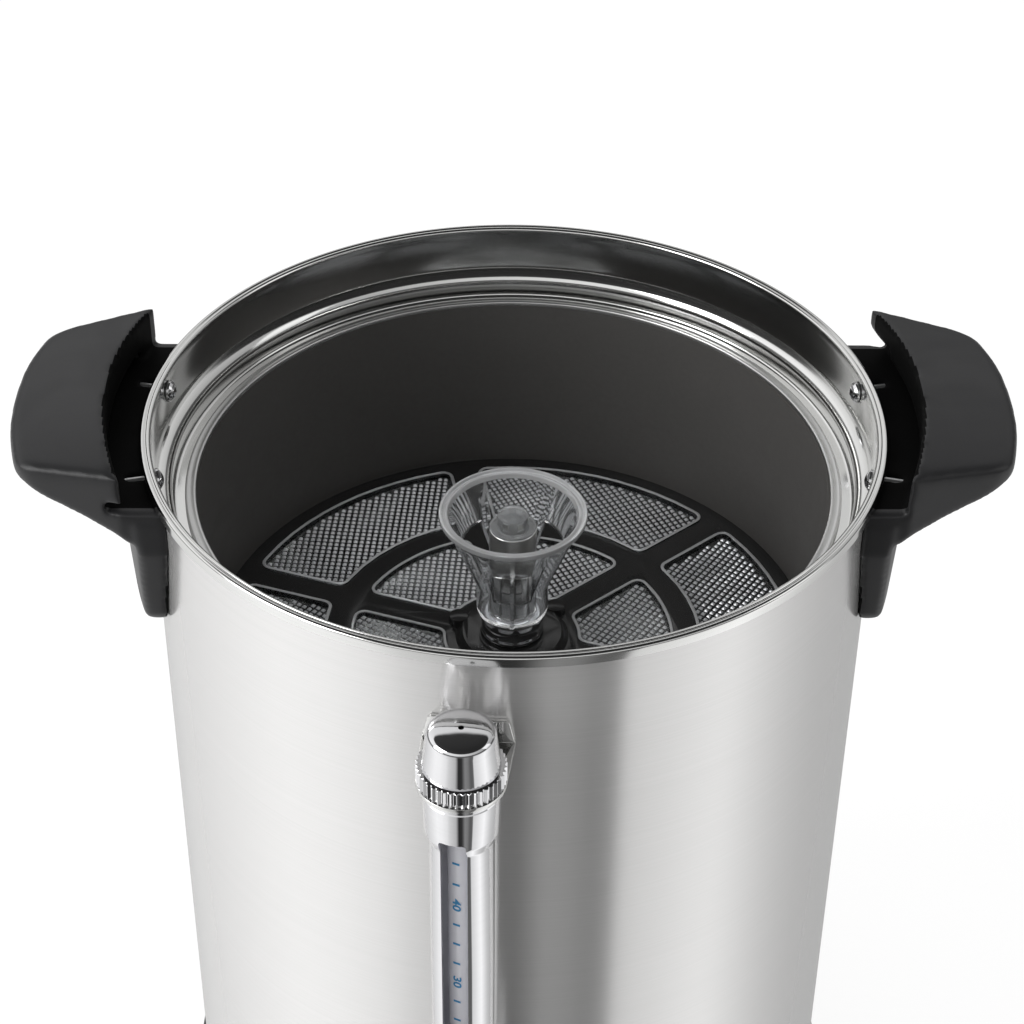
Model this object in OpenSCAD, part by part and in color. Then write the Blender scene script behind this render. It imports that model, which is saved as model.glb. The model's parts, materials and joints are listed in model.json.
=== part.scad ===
// Hot water urn with a lift-out filter basket, a level gauge and a tap.
// The origin is on the table under the urn's axis, +Z is up, and the tap and gauge face -Y.

/* [Urn body] */
// Outer radius of the rolled rim
rim_r = 125.5; // [122:0.5:130]
// Height of the rim's top above the table
rim_z = 350; // [345:1:365]
// Height of the rolled hem outside the shell
hem_h = 4; // [3:0.5:6]
// Thickness of the shell and tank sheet
sheet = 0.8; // [0.6:0.1:0.9]
// Height of the collar above its bead
collar_h = 16.6; // [15:0.2:18]
// Depth of the ledge that carries the basket, below the rim
ledge_depth = 26; // [25:0.5:28]

/* [Filter basket] */
// Depth of the basket floor's top below the rim
floor_depth = 97.5; // [90:0.5:105]
// Width of a spoke in the floor
spoke_w = 9.75; // [8:0.25:11]
// Turn of the first spoke from +X
spoke_turn = 40.2; // [0:0.2:59]
// Thickness of the floor frame
frame_t = 3; // [2.5:0.25:4]
// Wall thickness of a screen's clear rim
screen_wall = 1.2; // [0.8:0.1:1.5]

/* [Percolator] */
// Outer radius of the percolator tube
tube_r = 8.4; // [7.5:0.1:9]
// Depth of the tube's top below the rim
tube_depth = 48; // [46:0.5:52]
// Depth of the funnel's rim below the urn's rim
funnel_depth = 41; // [38:0.5:42]
// Outer radius of the funnel's rim
funnel_r = 26; // [24:0.5:28]
// Turn of the funnel's rib from the mid-plane
funnel_turn = -0.8; // [-10:0.2:10]

/* [Handles] */
// Half the width of a handle at the urn
grip_half = 50.5; // [48:0.5:53]
// Reach of the handle from the urn's axis
grip_reach = 167.5; // [164:0.1:170]
// Height of the hood's inner edge above the rim
hood_rise = 13; // [12:0.5:16]
// Slope of the hood's top towards its outer end, in degrees
hood_slope = 7.5; // [5:0.5:10]
// Length of the leg below the rim
leg_depth = 56.5; // [54:0.5:62]

/* [Level gauge and tap] */
// Turn of the gauge and the tap from the mid-plane between the handles
front_turn = -6.8; // [-10:0.1:0]
// Distance of the gauge's axis from the urn's axis
gauge_reach = 140.8; // [140:0.2:143]
// Turn of the gauge window from the radial direction
window_turn = -8; // [-15:1:0]
// Height of the tap's shank above the table
tap_z = 119; // [118:1:124]
// Distance of the tap's valve from the urn's axis
valve_reach = 174; // [172:1:180]

/* [Base] */
// Height of the base skirt's top
skirt_z = 40; // [40:1:54]
// Height of a foot
foot_h = 7; // [6:0.5:9]
// Radius of the skirt at its lower edge
skirt_r = 131; // [129:0.5:135]

/* [Hidden] */
$fn = 96;
eps = 0.01;

// Shell and tank radii
shell_r = rim_r - 2.25;
shell_in = shell_r - sheet;
collar_top_r = rim_r - 3.8;
collar_low_r = rim_r - 4.9;
collar_foot_z = rim_z - collar_h;
bead_r = rim_r - 9.5;
bead_drop = 4.6;
tank_r = rim_r - 15.5;
hem_in = shell_r + 0.1;
ledge_z = rim_z - ledge_depth;
shell_foot_z = skirt_z - 4;
tank_floor_z = 98.8;
well_r = 26;
well_floor_z = 90.8;

// Basket
basket_r = tank_r - 1;
basket_in = basket_r - 0.7;
basket_rim_r = bead_r - 3.9;
rim_gap = 0.3;
floor_z = rim_z - floor_depth;
outer_win = [0.623 * basket_in, 0.946 * basket_in];
inner_win = [0.219 * basket_in, 0.542 * basket_in];
corner_r = 4;
hub_r = 20;
hub_z = floor_z + 3;
boss_r = 3.5;
boss_turn = spoke_turn - 1;
bush_r = 11.2;
bush_top = rim_z - 84.4;
slip = 0.08;

// Percolator
tube_foot = 104;
tube_top = rim_z - tube_depth;
tube_wall = 0.8;
bell_r = 22;
valve_r = 12;

// Funnel
funnel_z = rim_z - funnel_depth;
sleeve_r = 12.8;
sleeve_top = rim_z - 73;
sleeve_foot = rim_z - 84;
funnel_wall = 1.3;

// Handles
handle_in = shell_r + 0.05;
lid_gap_r = rim_r + 10;
shelf_z = rim_z - hem_h - 0.3;
slot_h = 3.5;
slot_r = lid_gap_r + 5;
crown_r = 400;
leg_r = rim_r + 5.5;
leg_round = 7;
stud_z = rim_z - 6.6;
stud_turns = [-13.5, 11];
stud_r = 1.9;
stud_seat = rim_r - 4.25;
stud_foot = rim_r + 6;
nut_r = 3.7;

// Gauge
cap_ring_r = 13.8;
cap_ring_h = 5.6;
bracket_t = 1.5;
bracket_top = rim_z - 34.7;
bracket_low = bracket_top - bracket_t;
flange_half = 15.7;
flange_rise = 8.5;
housing_r = 11.9;
guard_r = 10.2;
guard_in = 9;
shoulder_z = rim_z - 54;
window_top = rim_z - 52;
window_w = 8.6;
glass_r = 4.5;
glass_in = 3.2;
neck_r = 7.8;
neck_top = bracket_top + 6.5;
cap_top = rim_z - 14.5;
gauge_foot = tap_z + 18;

// Tap
flange_y = rim_r + 2.5;
barrel_r = 11.5;
shank_r = 9;
bore_r = 6;
valve_r_out = 14;
valve_top = tap_z + 19;
seat_z = tap_z - 11;
spout_z = tap_z - 37;
outlet_r = 7;
outlet_len = 10;
bonnet_top = valve_top + 7;
pin_z = bonnet_top + 6;
pin_r = 1.45;
cam_low = 5.7;
cam_rise = 3.8;
stem_r = 3;

// Base
skirt_wall = 3;
plate_z = foot_h;
plate_t = 1.2;
foot_reach = 104;
panel_z = 23.5;
skirt_slope = atan((skirt_r - shell_r - 3.4) / (skirt_z - foot_h));
panel_r = skirt_r - (panel_z - foot_h) * tan(skirt_slope);
inlet_y = skirt_r - 1;
lamp_turn = 11;

// A point at radius r and angle a
function polar(r, a) = [r * cos(a), r * sin(a)];
// Points along an arc about c
function arc(c, r, a0, a1, n) = [for (i = [0:n]) c + polar(r, a0 + (a1 - a0) * i / n)];
// Outline of a floor window between two radii and two spokes 60 degrees apart, with round corners
function window_outline(r0, r1, w, c, a) =
    let (
        di = asin((w / 2 + c) / (r0 + c)),
        do = asin((w / 2 + c) / (r1 - c)),
        a_low = a + do,
        a_high = a + 60 - do,
        b_low = a + di,
        b_high = a + 60 - di
    )
    concat(
        arc(polar(r0 + c, b_low), c, b_low + 180, a + 270, 5),
        arc(polar(r1 - c, a_low), c, a - 90, a_low, 5),
        arc([0, 0], r1, a_low + 1, a_high - 1, 10),
        arc(polar(r1 - c, a_high), c, a_high, a + 150, 5),
        arc(polar(r0 + c, b_high), c, a + 150, b_high + 180, 5),
        arc([0, 0], r0, b_high - 1, b_low + 1, 6)
    );

// Puts a piece that is drawn about the Z axis at the gauge's axis
module at_gauge() {
    rotate([0, 0, front_turn]) translate([0, -gauge_reach, 0]) children();
}

// Puts a piece that is drawn about the Z axis at the tap's valve
module at_valve() {
    rotate([0, 0, front_turn]) translate([0, -valve_reach, 0]) children();
}

// Puts a piece that faces -Y on the skirt's face, turned from the tap by some degrees
module at_panel(turn) {
    rotate([0, 0, front_turn + turn]) translate([0, -panel_r, panel_z]) rotate([-skirt_slope, 0, 0]) children();
}

// A cylinder along the tap's shank, between two distances from the urn's axis
module shank_cylinder(r, y0, y1) {
    rotate([0, 0, front_turn]) translate([0, -y0, tap_z]) rotate([90, 0, 0]) cylinder(h = y1 - y0, r = r);
}

// A ring between two radii
module ring(r_in, r_out, z0, z1) {
    translate([0, 0, z0]) difference() {
        cylinder(h = z1 - z0, r = r_out);
        translate([0, 0, -1]) cylinder(h = z1 - z0 + 2, r = r_in);
    }
}

// Copies a piece that is drawn along +X to the four handle studs
module at_studs() {
    for (side = [0, 1], a = stud_turns)
        rotate([0, 0, side == 0 ? a : 180 - a]) translate([0, 0, stud_z]) children();
}

// Clearance holes for the four handle studs
module stud_holes() {
    at_studs() translate([tank_r, 0, 0]) rotate([0, 90, 0]) cylinder(h = 25, r = stud_r + 0.25, $fn = 32);
}

// Brushed outer shell with holes for the studs and the tap
module outer_shell() {
    color("silver") difference() {
        ring(shell_in, shell_r, shell_foot_z, rim_z - 1.9);
        stud_holes();
        shank_cylinder(shank_r + 0.3, shell_in - 10, rim_r + 10);
    }
}

// Polished collar with the rolled rim that is hemmed over the shell
module tank_collar() {
    profile = concat(
        [[rim_r, rim_z - hem_h]],
        arc([rim_r - 1, rim_z - 1], 1, 0, 90, 5),
        arc([collar_top_r + 1.5, rim_z - 1.5], 1.5, 90, 180, 6),
        [[collar_top_r, rim_z - 4.5], [collar_low_r + 0.3, collar_foot_z + 1], [collar_low_r, collar_foot_z],
         [collar_low_r + sheet, collar_foot_z], [shell_in - 0.1, rim_z - 2.6],
         [shell_in - 0.1, rim_z - 1.7], [hem_in, rim_z - 1.7], [hem_in, rim_z - hem_h]]
    );
    color("gainsboro") difference() {
        rotate_extrude($fn = 180) polygon(profile);
        stud_holes();
    }
}

// Plain wall of the tank, with a hole for the tap's shank
module tank_wall() {
    color("gainsboro") difference() {
        ring(tank_r, tank_r + sheet, tank_floor_z + 3.4, ledge_z - sheet - 0.02);
        shank_cylinder(shank_r + 0.3, tank_r - 10, tank_r + 5);
    }
}

// Round bead under the collar and the ledge that carries the basket
module tank_ledge() {
    bead_z = collar_foot_z - 0.02 - bead_drop;
    color("gainsboro") rotate_extrude($fn = 180) polygon(concat(
        arc([collar_low_r, bead_z], bead_drop, 90, 180, 10),
        arc([bead_r - 1.2, ledge_z + 1.2], 1.2, 0, -90, 5),
        [[tank_r, ledge_z], [tank_r, ledge_z - sheet], [bead_r + sheet, ledge_z - sheet]],
        arc([collar_low_r, bead_z], bead_drop - sheet, 180, 90, 10),
        [[collar_low_r + sheet, bead_z + bead_drop - sheet], [collar_low_r + sheet, bead_z + bead_drop]]
    ));
}

// Tank bottom with the well that the pump bell stands in
module tank_bottom() {
    flange_r = tank_r - 0.1;
    color("gainsboro") rotate_extrude() polygon(concat(
        [[0, well_floor_z], [well_r - 1.5, well_floor_z], [well_r, tank_floor_z - 1],
         [well_r + 1, tank_floor_z]],
        arc([flange_r - sheet - 4, tank_floor_z + 4], 4, -90, 0, 6),
        [[flange_r - sheet, tank_floor_z + 6], [flange_r, tank_floor_z + 6]],
        arc([flange_r - sheet - 4, tank_floor_z + 4], 4 + sheet, 0, -90, 6),
        [[well_r + 1.3, tank_floor_z - sheet], [well_r + sheet, tank_floor_z - 1.3],
         [well_r - 1, well_floor_z - sheet], [0, well_floor_z - sheet]]
    ));
}

// Dark wall of the filter basket
module basket_wall() {
    color([0.22, 0.22, 0.21]) ring(basket_in, basket_r, floor_z - frame_t - 1.1, ledge_z + rim_gap);
}

// Flat ring welded in the foot of the basket wall, which carries the floor
module floor_ring() {
    color([0.22, 0.22, 0.21]) ring(basket_in - 4, basket_in - 0.02, floor_z - frame_t - 1.1, floor_z - frame_t - 0.1);
}

// Folded rim of the basket, which hangs on the ledge
module basket_rim() {
    z0 = ledge_z + rim_gap;
    color("silver") rotate_extrude() polygon([
        [basket_in, z0], [basket_rim_r, z0], [basket_rim_r, z0 + 0.8],
        [basket_rim_r - 0.7, z0 + 1.4], [basket_in + 0.7, z0 + 1.6], [basket_in, z0 + 1]
    ]);
}

// Shape of all six windows of one row, as cutters or as plates
module windows(limits, inset, z0, z1) {
    for (i = [0:5])
        translate([0, 0, z0]) linear_extrude(height = z1 - z0)
            polygon(window_outline(limits[0] + inset, limits[1] - inset, spoke_w + 2 * inset,
                                   corner_r - inset, spoke_turn + 60 * i));
}

// Black floor frame: outer border, middle ring, six spokes, hub and three small bosses
module basket_frame() {
    low = floor_z - frame_t;
    color([0.09, 0.09, 0.09]) difference() {
        union() {
            translate([0, 0, low]) cylinder(h = frame_t, r = basket_in - 0.05);
            translate([0, 0, floor_z - 1]) cylinder(h = hub_z - floor_z + 1, r1 = hub_r + 1, r2 = hub_r - 2);
            for (i = [0:2])
                translate(concat(polar(hub_r + 0.6, boss_turn + 120 * i), floor_z - 1))
                    cylinder(h = 4.5, r = boss_r, $fn = 32);
        }
        windows(outer_win, 0, low - 1, floor_z + 1);
        windows(inner_win, 0, low - 1, floor_z + 1);
        translate([0, 0, low - 1]) cylinder(h = 20, r = tube_r + 0.4);
    }
}

// A row of six clear trays with raised rims and a screen floor
module screens(limits) {
    fit = 0.05;
    low = floor_z - frame_t + 0.1;
    color([0.8, 0.82, 0.84, 0.6]) difference() {
        windows(limits, fit, low, floor_z + 0.5);
        windows(limits, fit + screen_wall, low + 0.9, floor_z + 2);
    }
}

module outer_screens() {
    screens(outer_win);
}

module inner_screens() {
    screens(inner_win);
}

// Chrome bush that guides the basket on the tube
module hub_bush() {
    color("lightgray") rotate_extrude() polygon([
        [tube_r + slip, hub_z], [bush_r - 0.4, hub_z], [bush_r, hub_z + 1], [bush_r, bush_top - 2.4],
        [bush_r - 0.7, bush_top - 0.7], [bush_r - 2, bush_top], [tube_r + slip, bush_top]
    ]);
}

// Steel tube that the boiling water climbs
module percolator_tube() {
    color("lightgray") ring(tube_r - tube_wall, tube_r, tube_foot, tube_top);
}

// Bell at the foot of the tube, standing in the well
module pump_bell() {
    z0 = well_floor_z + 0.4;
    bore = tube_r + 0.02;
    color("silver") difference() {
        rotate_extrude() polygon([
            [bell_r, z0], [bell_r, z0 + 5], [tube_r + 1.4, z0 + 15], [tube_r + 1.4, z0 + 21],
            [bore, z0 + 21], [bore, tube_foot - 0.1], [tube_r - tube_wall, tube_foot - 0.1],
            [tube_r - tube_wall, z0 + 12.6], [valve_r + 1, z0 + 10.4], [bell_r - 1, z0 + 4.6], [bell_r - 1, z0]
        ]);
        for (a = [0:60:119])
            rotate([0, 0, a]) translate([0, 0, z0 + 2]) rotate([0, 90, 0])
                cylinder(h = 60, r = 1.5, center = true, $fn = 24);
    }
}

// Loose disc that closes the bell's mouth
module pump_valve() {
    color("dimgray") translate([0, 0, well_floor_z + 1]) difference() {
        cylinder(h = 1.2, r = valve_r);
        translate([0, 0, -1]) cylinder(h = 4, r = 1.5, $fn = 32);
    }
}

// Clear funnel: stepped rim, conical bowl on struts, sleeve over the tube and a pointed rib
module funnel_cap() {
    bowl_r = funnel_r - 2.5;
    neck_z = sleeve_top + 1;
    color([0.85, 0.88, 0.9, 0.45]) rotate([0, 0, funnel_turn]) union() {
        difference() {
            rotate_extrude() polygon([
                [funnel_r, funnel_z], [funnel_r, funnel_z - 1.6], [funnel_r - 0.9, funnel_z - 2.6],
                [bowl_r + 0.4, funnel_z - 3.2], [sleeve_r, neck_z], [sleeve_r, sleeve_foot],
                [tube_r + slip, sleeve_foot], [tube_r + slip, sleeve_foot + 1.5],
                [sleeve_r - funnel_wall, sleeve_foot + 1.5], [sleeve_r - funnel_wall, neck_z],
                [bowl_r - 1.2, funnel_z - 2.4], [bowl_r - 0.4, funnel_z - 0.8], [bowl_r + 0.6, funnel_z - 0.8],
                [bowl_r + 0.9, funnel_z]
            ]);
            for (a = [30:120:359])
                rotate([0, 0, a]) translate([0, -6.5, sleeve_top]) cube([40, 13, 17]);
        }
        translate([-0.8, -funnel_r + 2.2, 0]) rotate([90, 0, 90]) linear_extrude(height = 1.6)
            polygon([[0.6, funnel_z - 3], [4, funnel_z - 3], [12.4, sleeve_top], [12.4, sleeve_foot + 1.5],
                     [10.6, sleeve_foot - 0.2], [9.8, sleeve_foot + 3], [9.8, sleeve_top + 6]]);
    }
}

// Side profile of a hood, x outwards and z from the rim's top
function hood_profile() = concat(
    [[100, -19], [rim_r, -16.5], [rim_r + 1.8, -14.6], [rim_r + 4.5, -12.9], [grip_reach - 27.5, -8.1],
     [grip_reach - 14, -3], [grip_reach - 8, -0.2]],
    arc([grip_reach - 6.3, 6], 6.3, -78, 0, 6),
    [[grip_reach - 0.8, 7.4], [grip_reach - 3, 30], [100, 30]]
);

// Plan outline of a hood, narrower outwards, with round outer corners and a bowed end
function hood_plan(inset) =
    let (
        cx = grip_reach - 15.3,
        cy = grip_half - 19.4,
        r = 11 - inset,
        end_r = 125 - inset,
        end_c = grip_reach - 125
    )
    concat(
        [[100, inset - grip_half], [rim_r + 1.5, inset - grip_half]],
        arc([cx, -cy], r, -72.8, -16, 6),
        arc([end_c, 0], end_r, -15.6, 15.6, 12),
        arc([cx, cy], r, 16, 72.8, 6),
        [[rim_r + 1.5, grip_half - inset], [100, grip_half - inset]]
    );

// Outline of the leg seen from outside, tapered, with round lower corners
function leg_outline() =
    let (
        w = grip_half + 0.8,
        cy = w - leg_round - 7.4,
        cz = -leg_depth + leg_round
    )
    concat(
        [[-w, 0], [-w, -20]],
        arc([-cy, cz], leg_round, 190, 270, 6),
        arc([cy, cz], leg_round, 270, 350, 6),
        [[w, -20], [w, 0]]
    );

// Hood, shelf and leg of a handle on the +X side, with the lid's slot open at its +Y end
module handle(lead_in, turns) {
    difference() {
        union() {
            intersection() {
                translate([0, 0, rim_z]) rotate([90, 0, 0])
                    linear_extrude(height = 120, center = true) polygon(hood_profile());
                translate([0, 0, rim_z - 40]) linear_extrude(height = 80) polygon(hood_plan(0));
                translate([rim_r + 5, 0, rim_z + hood_rise - crown_r / cos(hood_slope)])
                    rotate([0, 90 + hood_slope, 0])
                        cylinder(h = 200, r = crown_r, center = true, $fn = 200);
            }
            intersection() {
                translate([0, 0, rim_z]) rotate_extrude() polygon(concat(
                    [[shell_r - 3, -leg_depth]],
                    arc([leg_r - leg_round + 1, -leg_depth + leg_round - 1], leg_round - 1, -90, 0, 6),
                    [[leg_r + 2, -14], [leg_r + 2, -8], [shell_r - 3, -8]]
                ));
                translate([shell_r - 50, 0, rim_z]) rotate([90, 0, 90]) linear_extrude(height = 80)
                    polygon(leg_outline());
            }
        }
        translate([0, 0, rim_z - 80]) cylinder(h = 120, r = handle_in, $fn = 180);
        translate([0, 0, shelf_z]) cylinder(h = 60, r = lid_gap_r, $fn = 180);
        intersection() {
            ring(lid_gap_r - 4, slot_r, shelf_z, shelf_z + slot_h);
            translate([60, -grip_half + 12, shelf_z - 10]) cube([120, 120, 40]);
        }
        if (lead_in)
            intersection() {
                rotate_extrude() polygon([
                    [lid_gap_r - 4, shelf_z], [slot_r, shelf_z], [lid_gap_r - 1, shelf_z + 9.7],
                    [lid_gap_r - 4, shelf_z + 9.7]
                ]);
                translate([60, grip_half - 16, shelf_z - 10]) cube([120, 60, 40]);
            }
        difference() {
            translate([0, 0, rim_z - 60]) linear_extrude(height = 65) polygon(hood_plan(3));
            translate([0, 0, rim_z - 80]) cylinder(h = 120, r = slot_r + 3);
        }
        for (a = turns)
            rotate([0, 0, a]) translate([rim_r - 10, 0, stud_z]) rotate([0, 90, 0])
                cylinder(h = stud_foot + 0.1 - rim_r + 10, r = stud_r + 0.02, $fn = 32);
    }
}

module left_handle() {
    color([0.16, 0.16, 0.17]) rotate([0, 0, 180]) handle(false, -stud_turns);
}

module right_handle() {
    color([0.16, 0.16, 0.17]) handle(true, stud_turns);
}

// Studs moulded into the handles
module handle_studs() {
    color("silver") at_studs() translate([stud_seat - 1.7, 0, 0]) rotate([0, 90, 0])
        cylinder(h = stud_foot - stud_seat + 1.7, r = stud_r, $fn = 32);
}

// Washers under the cap nuts
module stud_washers() {
    color("gainsboro") at_studs() translate([stud_seat - 0.3, 0, 0]) rotate([0, 90, 0]) difference() {
        cylinder(h = 0.3, r = nut_r, $fn = 48);
        translate([0, 0, -1]) cylinder(h = 3, r = stud_r + 0.15, $fn = 32);
    }
}

// Domed cap nuts inside the collar
module cap_nuts() {
    dome_r = 4.3;
    color("gainsboro") at_studs() translate([stud_seat - 0.32, 0, 0]) rotate([0, -90, 0]) difference() {
        union() {
            cylinder(h = 0.5, r = nut_r, $fn = 48);
            intersection() {
                translate([0, 0, 2.3 - dome_r]) sphere(r = dome_r, $fn = 64);
                cylinder(h = 10, r = nut_r - 0.1);
            }
        }
        translate([0, 0, -1]) cylinder(h = 2.5, r = stud_r + 0.05, $fn = 32);
    }
}

// Bracket plate under the gauge cap, with a flange on the shell
module gauge_bracket() {
    end_r = cap_ring_r + 0.1;
    flange_top = bracket_top + flange_rise;
    color("silver") rotate([0, 0, front_turn]) difference() {
        union() {
            hull() {
                translate([0, -gauge_reach, bracket_low]) cylinder(h = bracket_t, r = end_r);
                translate([-flange_half, -shell_r - 1.4, bracket_low]) cube([2 * flange_half, 4, bracket_t]);
            }
            intersection() {
                ring(shell_r - 2, shell_r + 1.4, bracket_low, flange_top);
                translate([0, -shell_r + 20, 0]) rotate([90, 0, 0]) linear_extrude(height = 40) polygon([
                    [-flange_half, bracket_low], [flange_half, bracket_low],
                    [flange_half - 2, flange_top - 1], [flange_half - 3, flange_top],
                    [3 - flange_half, flange_top], [2 - flange_half, flange_top - 1]
                ]);
            }
        }
        translate([0, 0, bracket_top - 30]) cylinder(h = 60, r = shell_r + 0.03, $fn = 180);
        translate([0, -gauge_reach, bracket_low - 5]) cylinder(h = 20, r = neck_r + 0.2);
    }
}

// Guard tube with its housing, threaded neck and slot window
module gauge_guard() {
    color("gainsboro") at_gauge() difference() {
        rotate_extrude() polygon([
            [guard_in, gauge_foot], [guard_r, gauge_foot], [guard_r, shoulder_z - 4], [housing_r, shoulder_z],
            [housing_r, bracket_low - 0.02], [neck_r, bracket_low - 0.02], [neck_r, neck_top],
            [glass_r + 0.1, neck_top], [glass_r + 0.1, window_top + 3], [guard_in, window_top + 2]
        ]);
        rotate([0, 0, window_turn]) translate([-window_w / 2, -guard_r - 5, gauge_foot + 8])
            cube([window_w, guard_r, window_top - gauge_foot - 8]);
    }
}

// Gauge glass
module gauge_glass() {
    color([0.85, 0.9, 0.92, 0.5]) at_gauge() ring(glass_in, glass_r, tap_z + 10, neck_top - 0.2);
}

// Outline of the knurled ring
function knurl(r, depth, teeth) =
    [for (i = [0:2 * teeth - 1]) polar(i % 2 == 0 ? r : r - depth, i * 180 / teeth)];

// Chrome cap with a knurled ring and a vent hole
module gauge_cap() {
    z0 = bracket_top + 0.2;
    z1 = z0 + cap_ring_h;
    color("gainsboro") at_gauge() difference() {
        union() {
            translate([0, 0, z0]) linear_extrude(height = cap_ring_h)
                polygon(knurl(cap_ring_r, 0.7, 44));
            rotate_extrude() polygon(concat(
                [[0, z0 + 1], [housing_r, z0 + 1], [housing_r, z1 + 0.6]],
                arc([9.3, cap_top - 2], 1.6, 10, 90, 5),
                [[0, cap_top]]
            ));
        }
        translate([0, 0, z0 - 1]) cylinder(h = neck_top - z0 + 3.1, r = neck_r + 0.3);
        translate([0, 0, neck_top]) cylinder(h = 8, r = glass_r + 0.6);
        cylinder(h = rim_z, r = 1.2, $fn = 32);
    }
}

// Seal that stays in the cap and presses on the neck
module gauge_top_seal() {
    color("white") at_gauge() ring(glass_in, neck_r - 0.1, neck_top + 0.05, neck_top + 1.9);
}

// Seal round the foot of the glass
module gauge_bottom_seal() {
    color("white") at_gauge() ring(glass_r + 0.05, 6.45, gauge_foot - 6, gauge_foot - 0.1);
}

// Tap: flange, shank, barrel, gauge socket, valve chamber and spout
module tap_body() {
    boss_z = gauge_foot - 0.05;
    color("gainsboro") difference() {
        union() {
            shank_cylinder(shank_r, tank_r - 10, flange_y - 1);
            shank_cylinder(17, flange_y - 2.8, flange_y);
            shank_cylinder(barrel_r, flange_y - 1, valve_reach);
            at_gauge() translate([0, 0, tap_z]) cylinder(h = boss_z - tap_z, r = housing_r);
            at_valve() translate([0, 0, seat_z - 6]) cylinder(h = valve_top - seat_z + 6, r = valve_r_out);
            at_valve() translate([0, 0, spout_z]) cylinder(h = seat_z - 6 - spout_z + eps, r1 = 10, r2 = valve_r_out);
        }
        shank_cylinder(bore_r, tank_r - 20, valve_reach);
        at_gauge() translate([0, 0, tap_z]) cylinder(h = 30, r = 3);
        at_gauge() translate([0, 0, tap_z + 9.9]) cylinder(h = 30, r = glass_r + 0.1);
        at_gauge() translate([0, 0, gauge_foot - 6.1]) cylinder(h = 30, r = 6.5);
        at_valve() translate([0, 0, seat_z]) cylinder(h = 60, r = 10);
        at_valve() translate([0, 0, spout_z - 5]) cylinder(h = 60, r = bore_r);
        at_valve() translate([0, 0, spout_z - 5]) cylinder(h = outlet_len + 5, r = outlet_r);
    }
}

// Gasket between the tap's flange and the shell
module tap_gasket() {
    color([0.2, 0.2, 0.2]) difference() {
        shank_cylinder(16.4, shell_r - 6, flange_y - 2.85);
        shank_cylinder(shank_r + 0.05, shell_r - 10, rim_r + 5);
        cylinder(h = rim_z, r = shell_r + 0.02, $fn = 180);
    }
}

// Spacer sleeve between the tank and the shell
module tap_spacer() {
    color("white") difference() {
        shank_cylinder(13, tank_r - 5, shell_in - 1);
        shank_cylinder(shank_r + 0.05, tank_r - 10, rim_r + 5);
        cylinder(h = rim_z, r = tank_r + sheet + 0.05, $fn = 180);
    }
}

// Seal between the shank nut and the inside of the tank
module tank_seal() {
    color("white") intersection() {
        difference() {
            shank_cylinder(12.5, tank_r - 4.5, tank_r + 5);
            shank_cylinder(shank_r + 0.05, tank_r - 10, rim_r + 5);
        }
        cylinder(h = rim_z, r = tank_r - 0.05, $fn = 180);
    }
}

// Hexagon nut on the shank, inside the tank
module tap_nut() {
    color("silver") difference() {
        rotate([0, 0, front_turn]) translate([0, -(tank_r - 9.6), tap_z]) rotate([90, 0, 0])
            cylinder(h = 5, r = 13.5, $fn = 6);
        shank_cylinder(shank_r + 0.02, tank_r - 20, tank_r);
    }
}

// Soft cup that closes the valve seat
module tap_seat_cup() {
    z0 = seat_z + 0.1;
    color("white") at_valve() rotate_extrude() polygon([
        [0, z0], [8.6, z0], [9, z0 + 1], [8.2, z0 + 4], [5, z0 + 8], [stem_r + 0.02, z0 + 8],
        [stem_r + 0.02, z0 + 2], [0, z0 + 2]
    ]);
}

// Stem of the valve with the hole for the lever's pin
module tap_stem() {
    z0 = seat_z + 2.15;
    color("silver") at_valve() difference() {
        translate([0, 0, z0]) cylinder(h = pin_z + 4.6 - z0, r = stem_r);
        translate([-10, 0, pin_z]) rotate([0, 90, 0]) cylinder(h = 20, r = pin_r + 0.02, $fn = 32);
    }
}

// Closing spring round the stem
module tap_spring() {
    color("gray") at_valve() ring(stem_r + 0.5, stem_r + 1.9, seat_z + 8.15, valve_top);
}

// Bonnet screwed over the valve chamber
module tap_bonnet() {
    color("gainsboro") at_valve() difference() {
        union() {
            translate([0, 0, valve_top - 6]) linear_extrude(height = 8)
                polygon(knurl(valve_r_out + 2.6, 0.8, 32));
            translate([0, 0, valve_top]) cylinder(h = bonnet_top - valve_top, r1 = valve_r_out + 1.6, r2 = 8);
        }
        translate([0, 0, valve_top - 7]) cylinder(h = 7.05, r = valve_r_out + 0.05);
        cylinder(h = rim_z, r = stem_r + 0.07);
    }
}

// Pin that joins the lever to the stem
module tap_pin() {
    color("silver") at_valve() translate([-7.6, 0, pin_z]) rotate([0, 90, 0])
        cylinder(h = 15.2, r = pin_r, $fn = 32);
}

// Point of the cam that touches the bonnet when the lever is turned by angle a
function cam_point(a) =
    let (h = cam_low + cam_rise * a * PI / 180)
    [-h * sin(a) - cam_rise * cos(a), -h * cos(a) + cam_rise * sin(a)];

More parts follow.
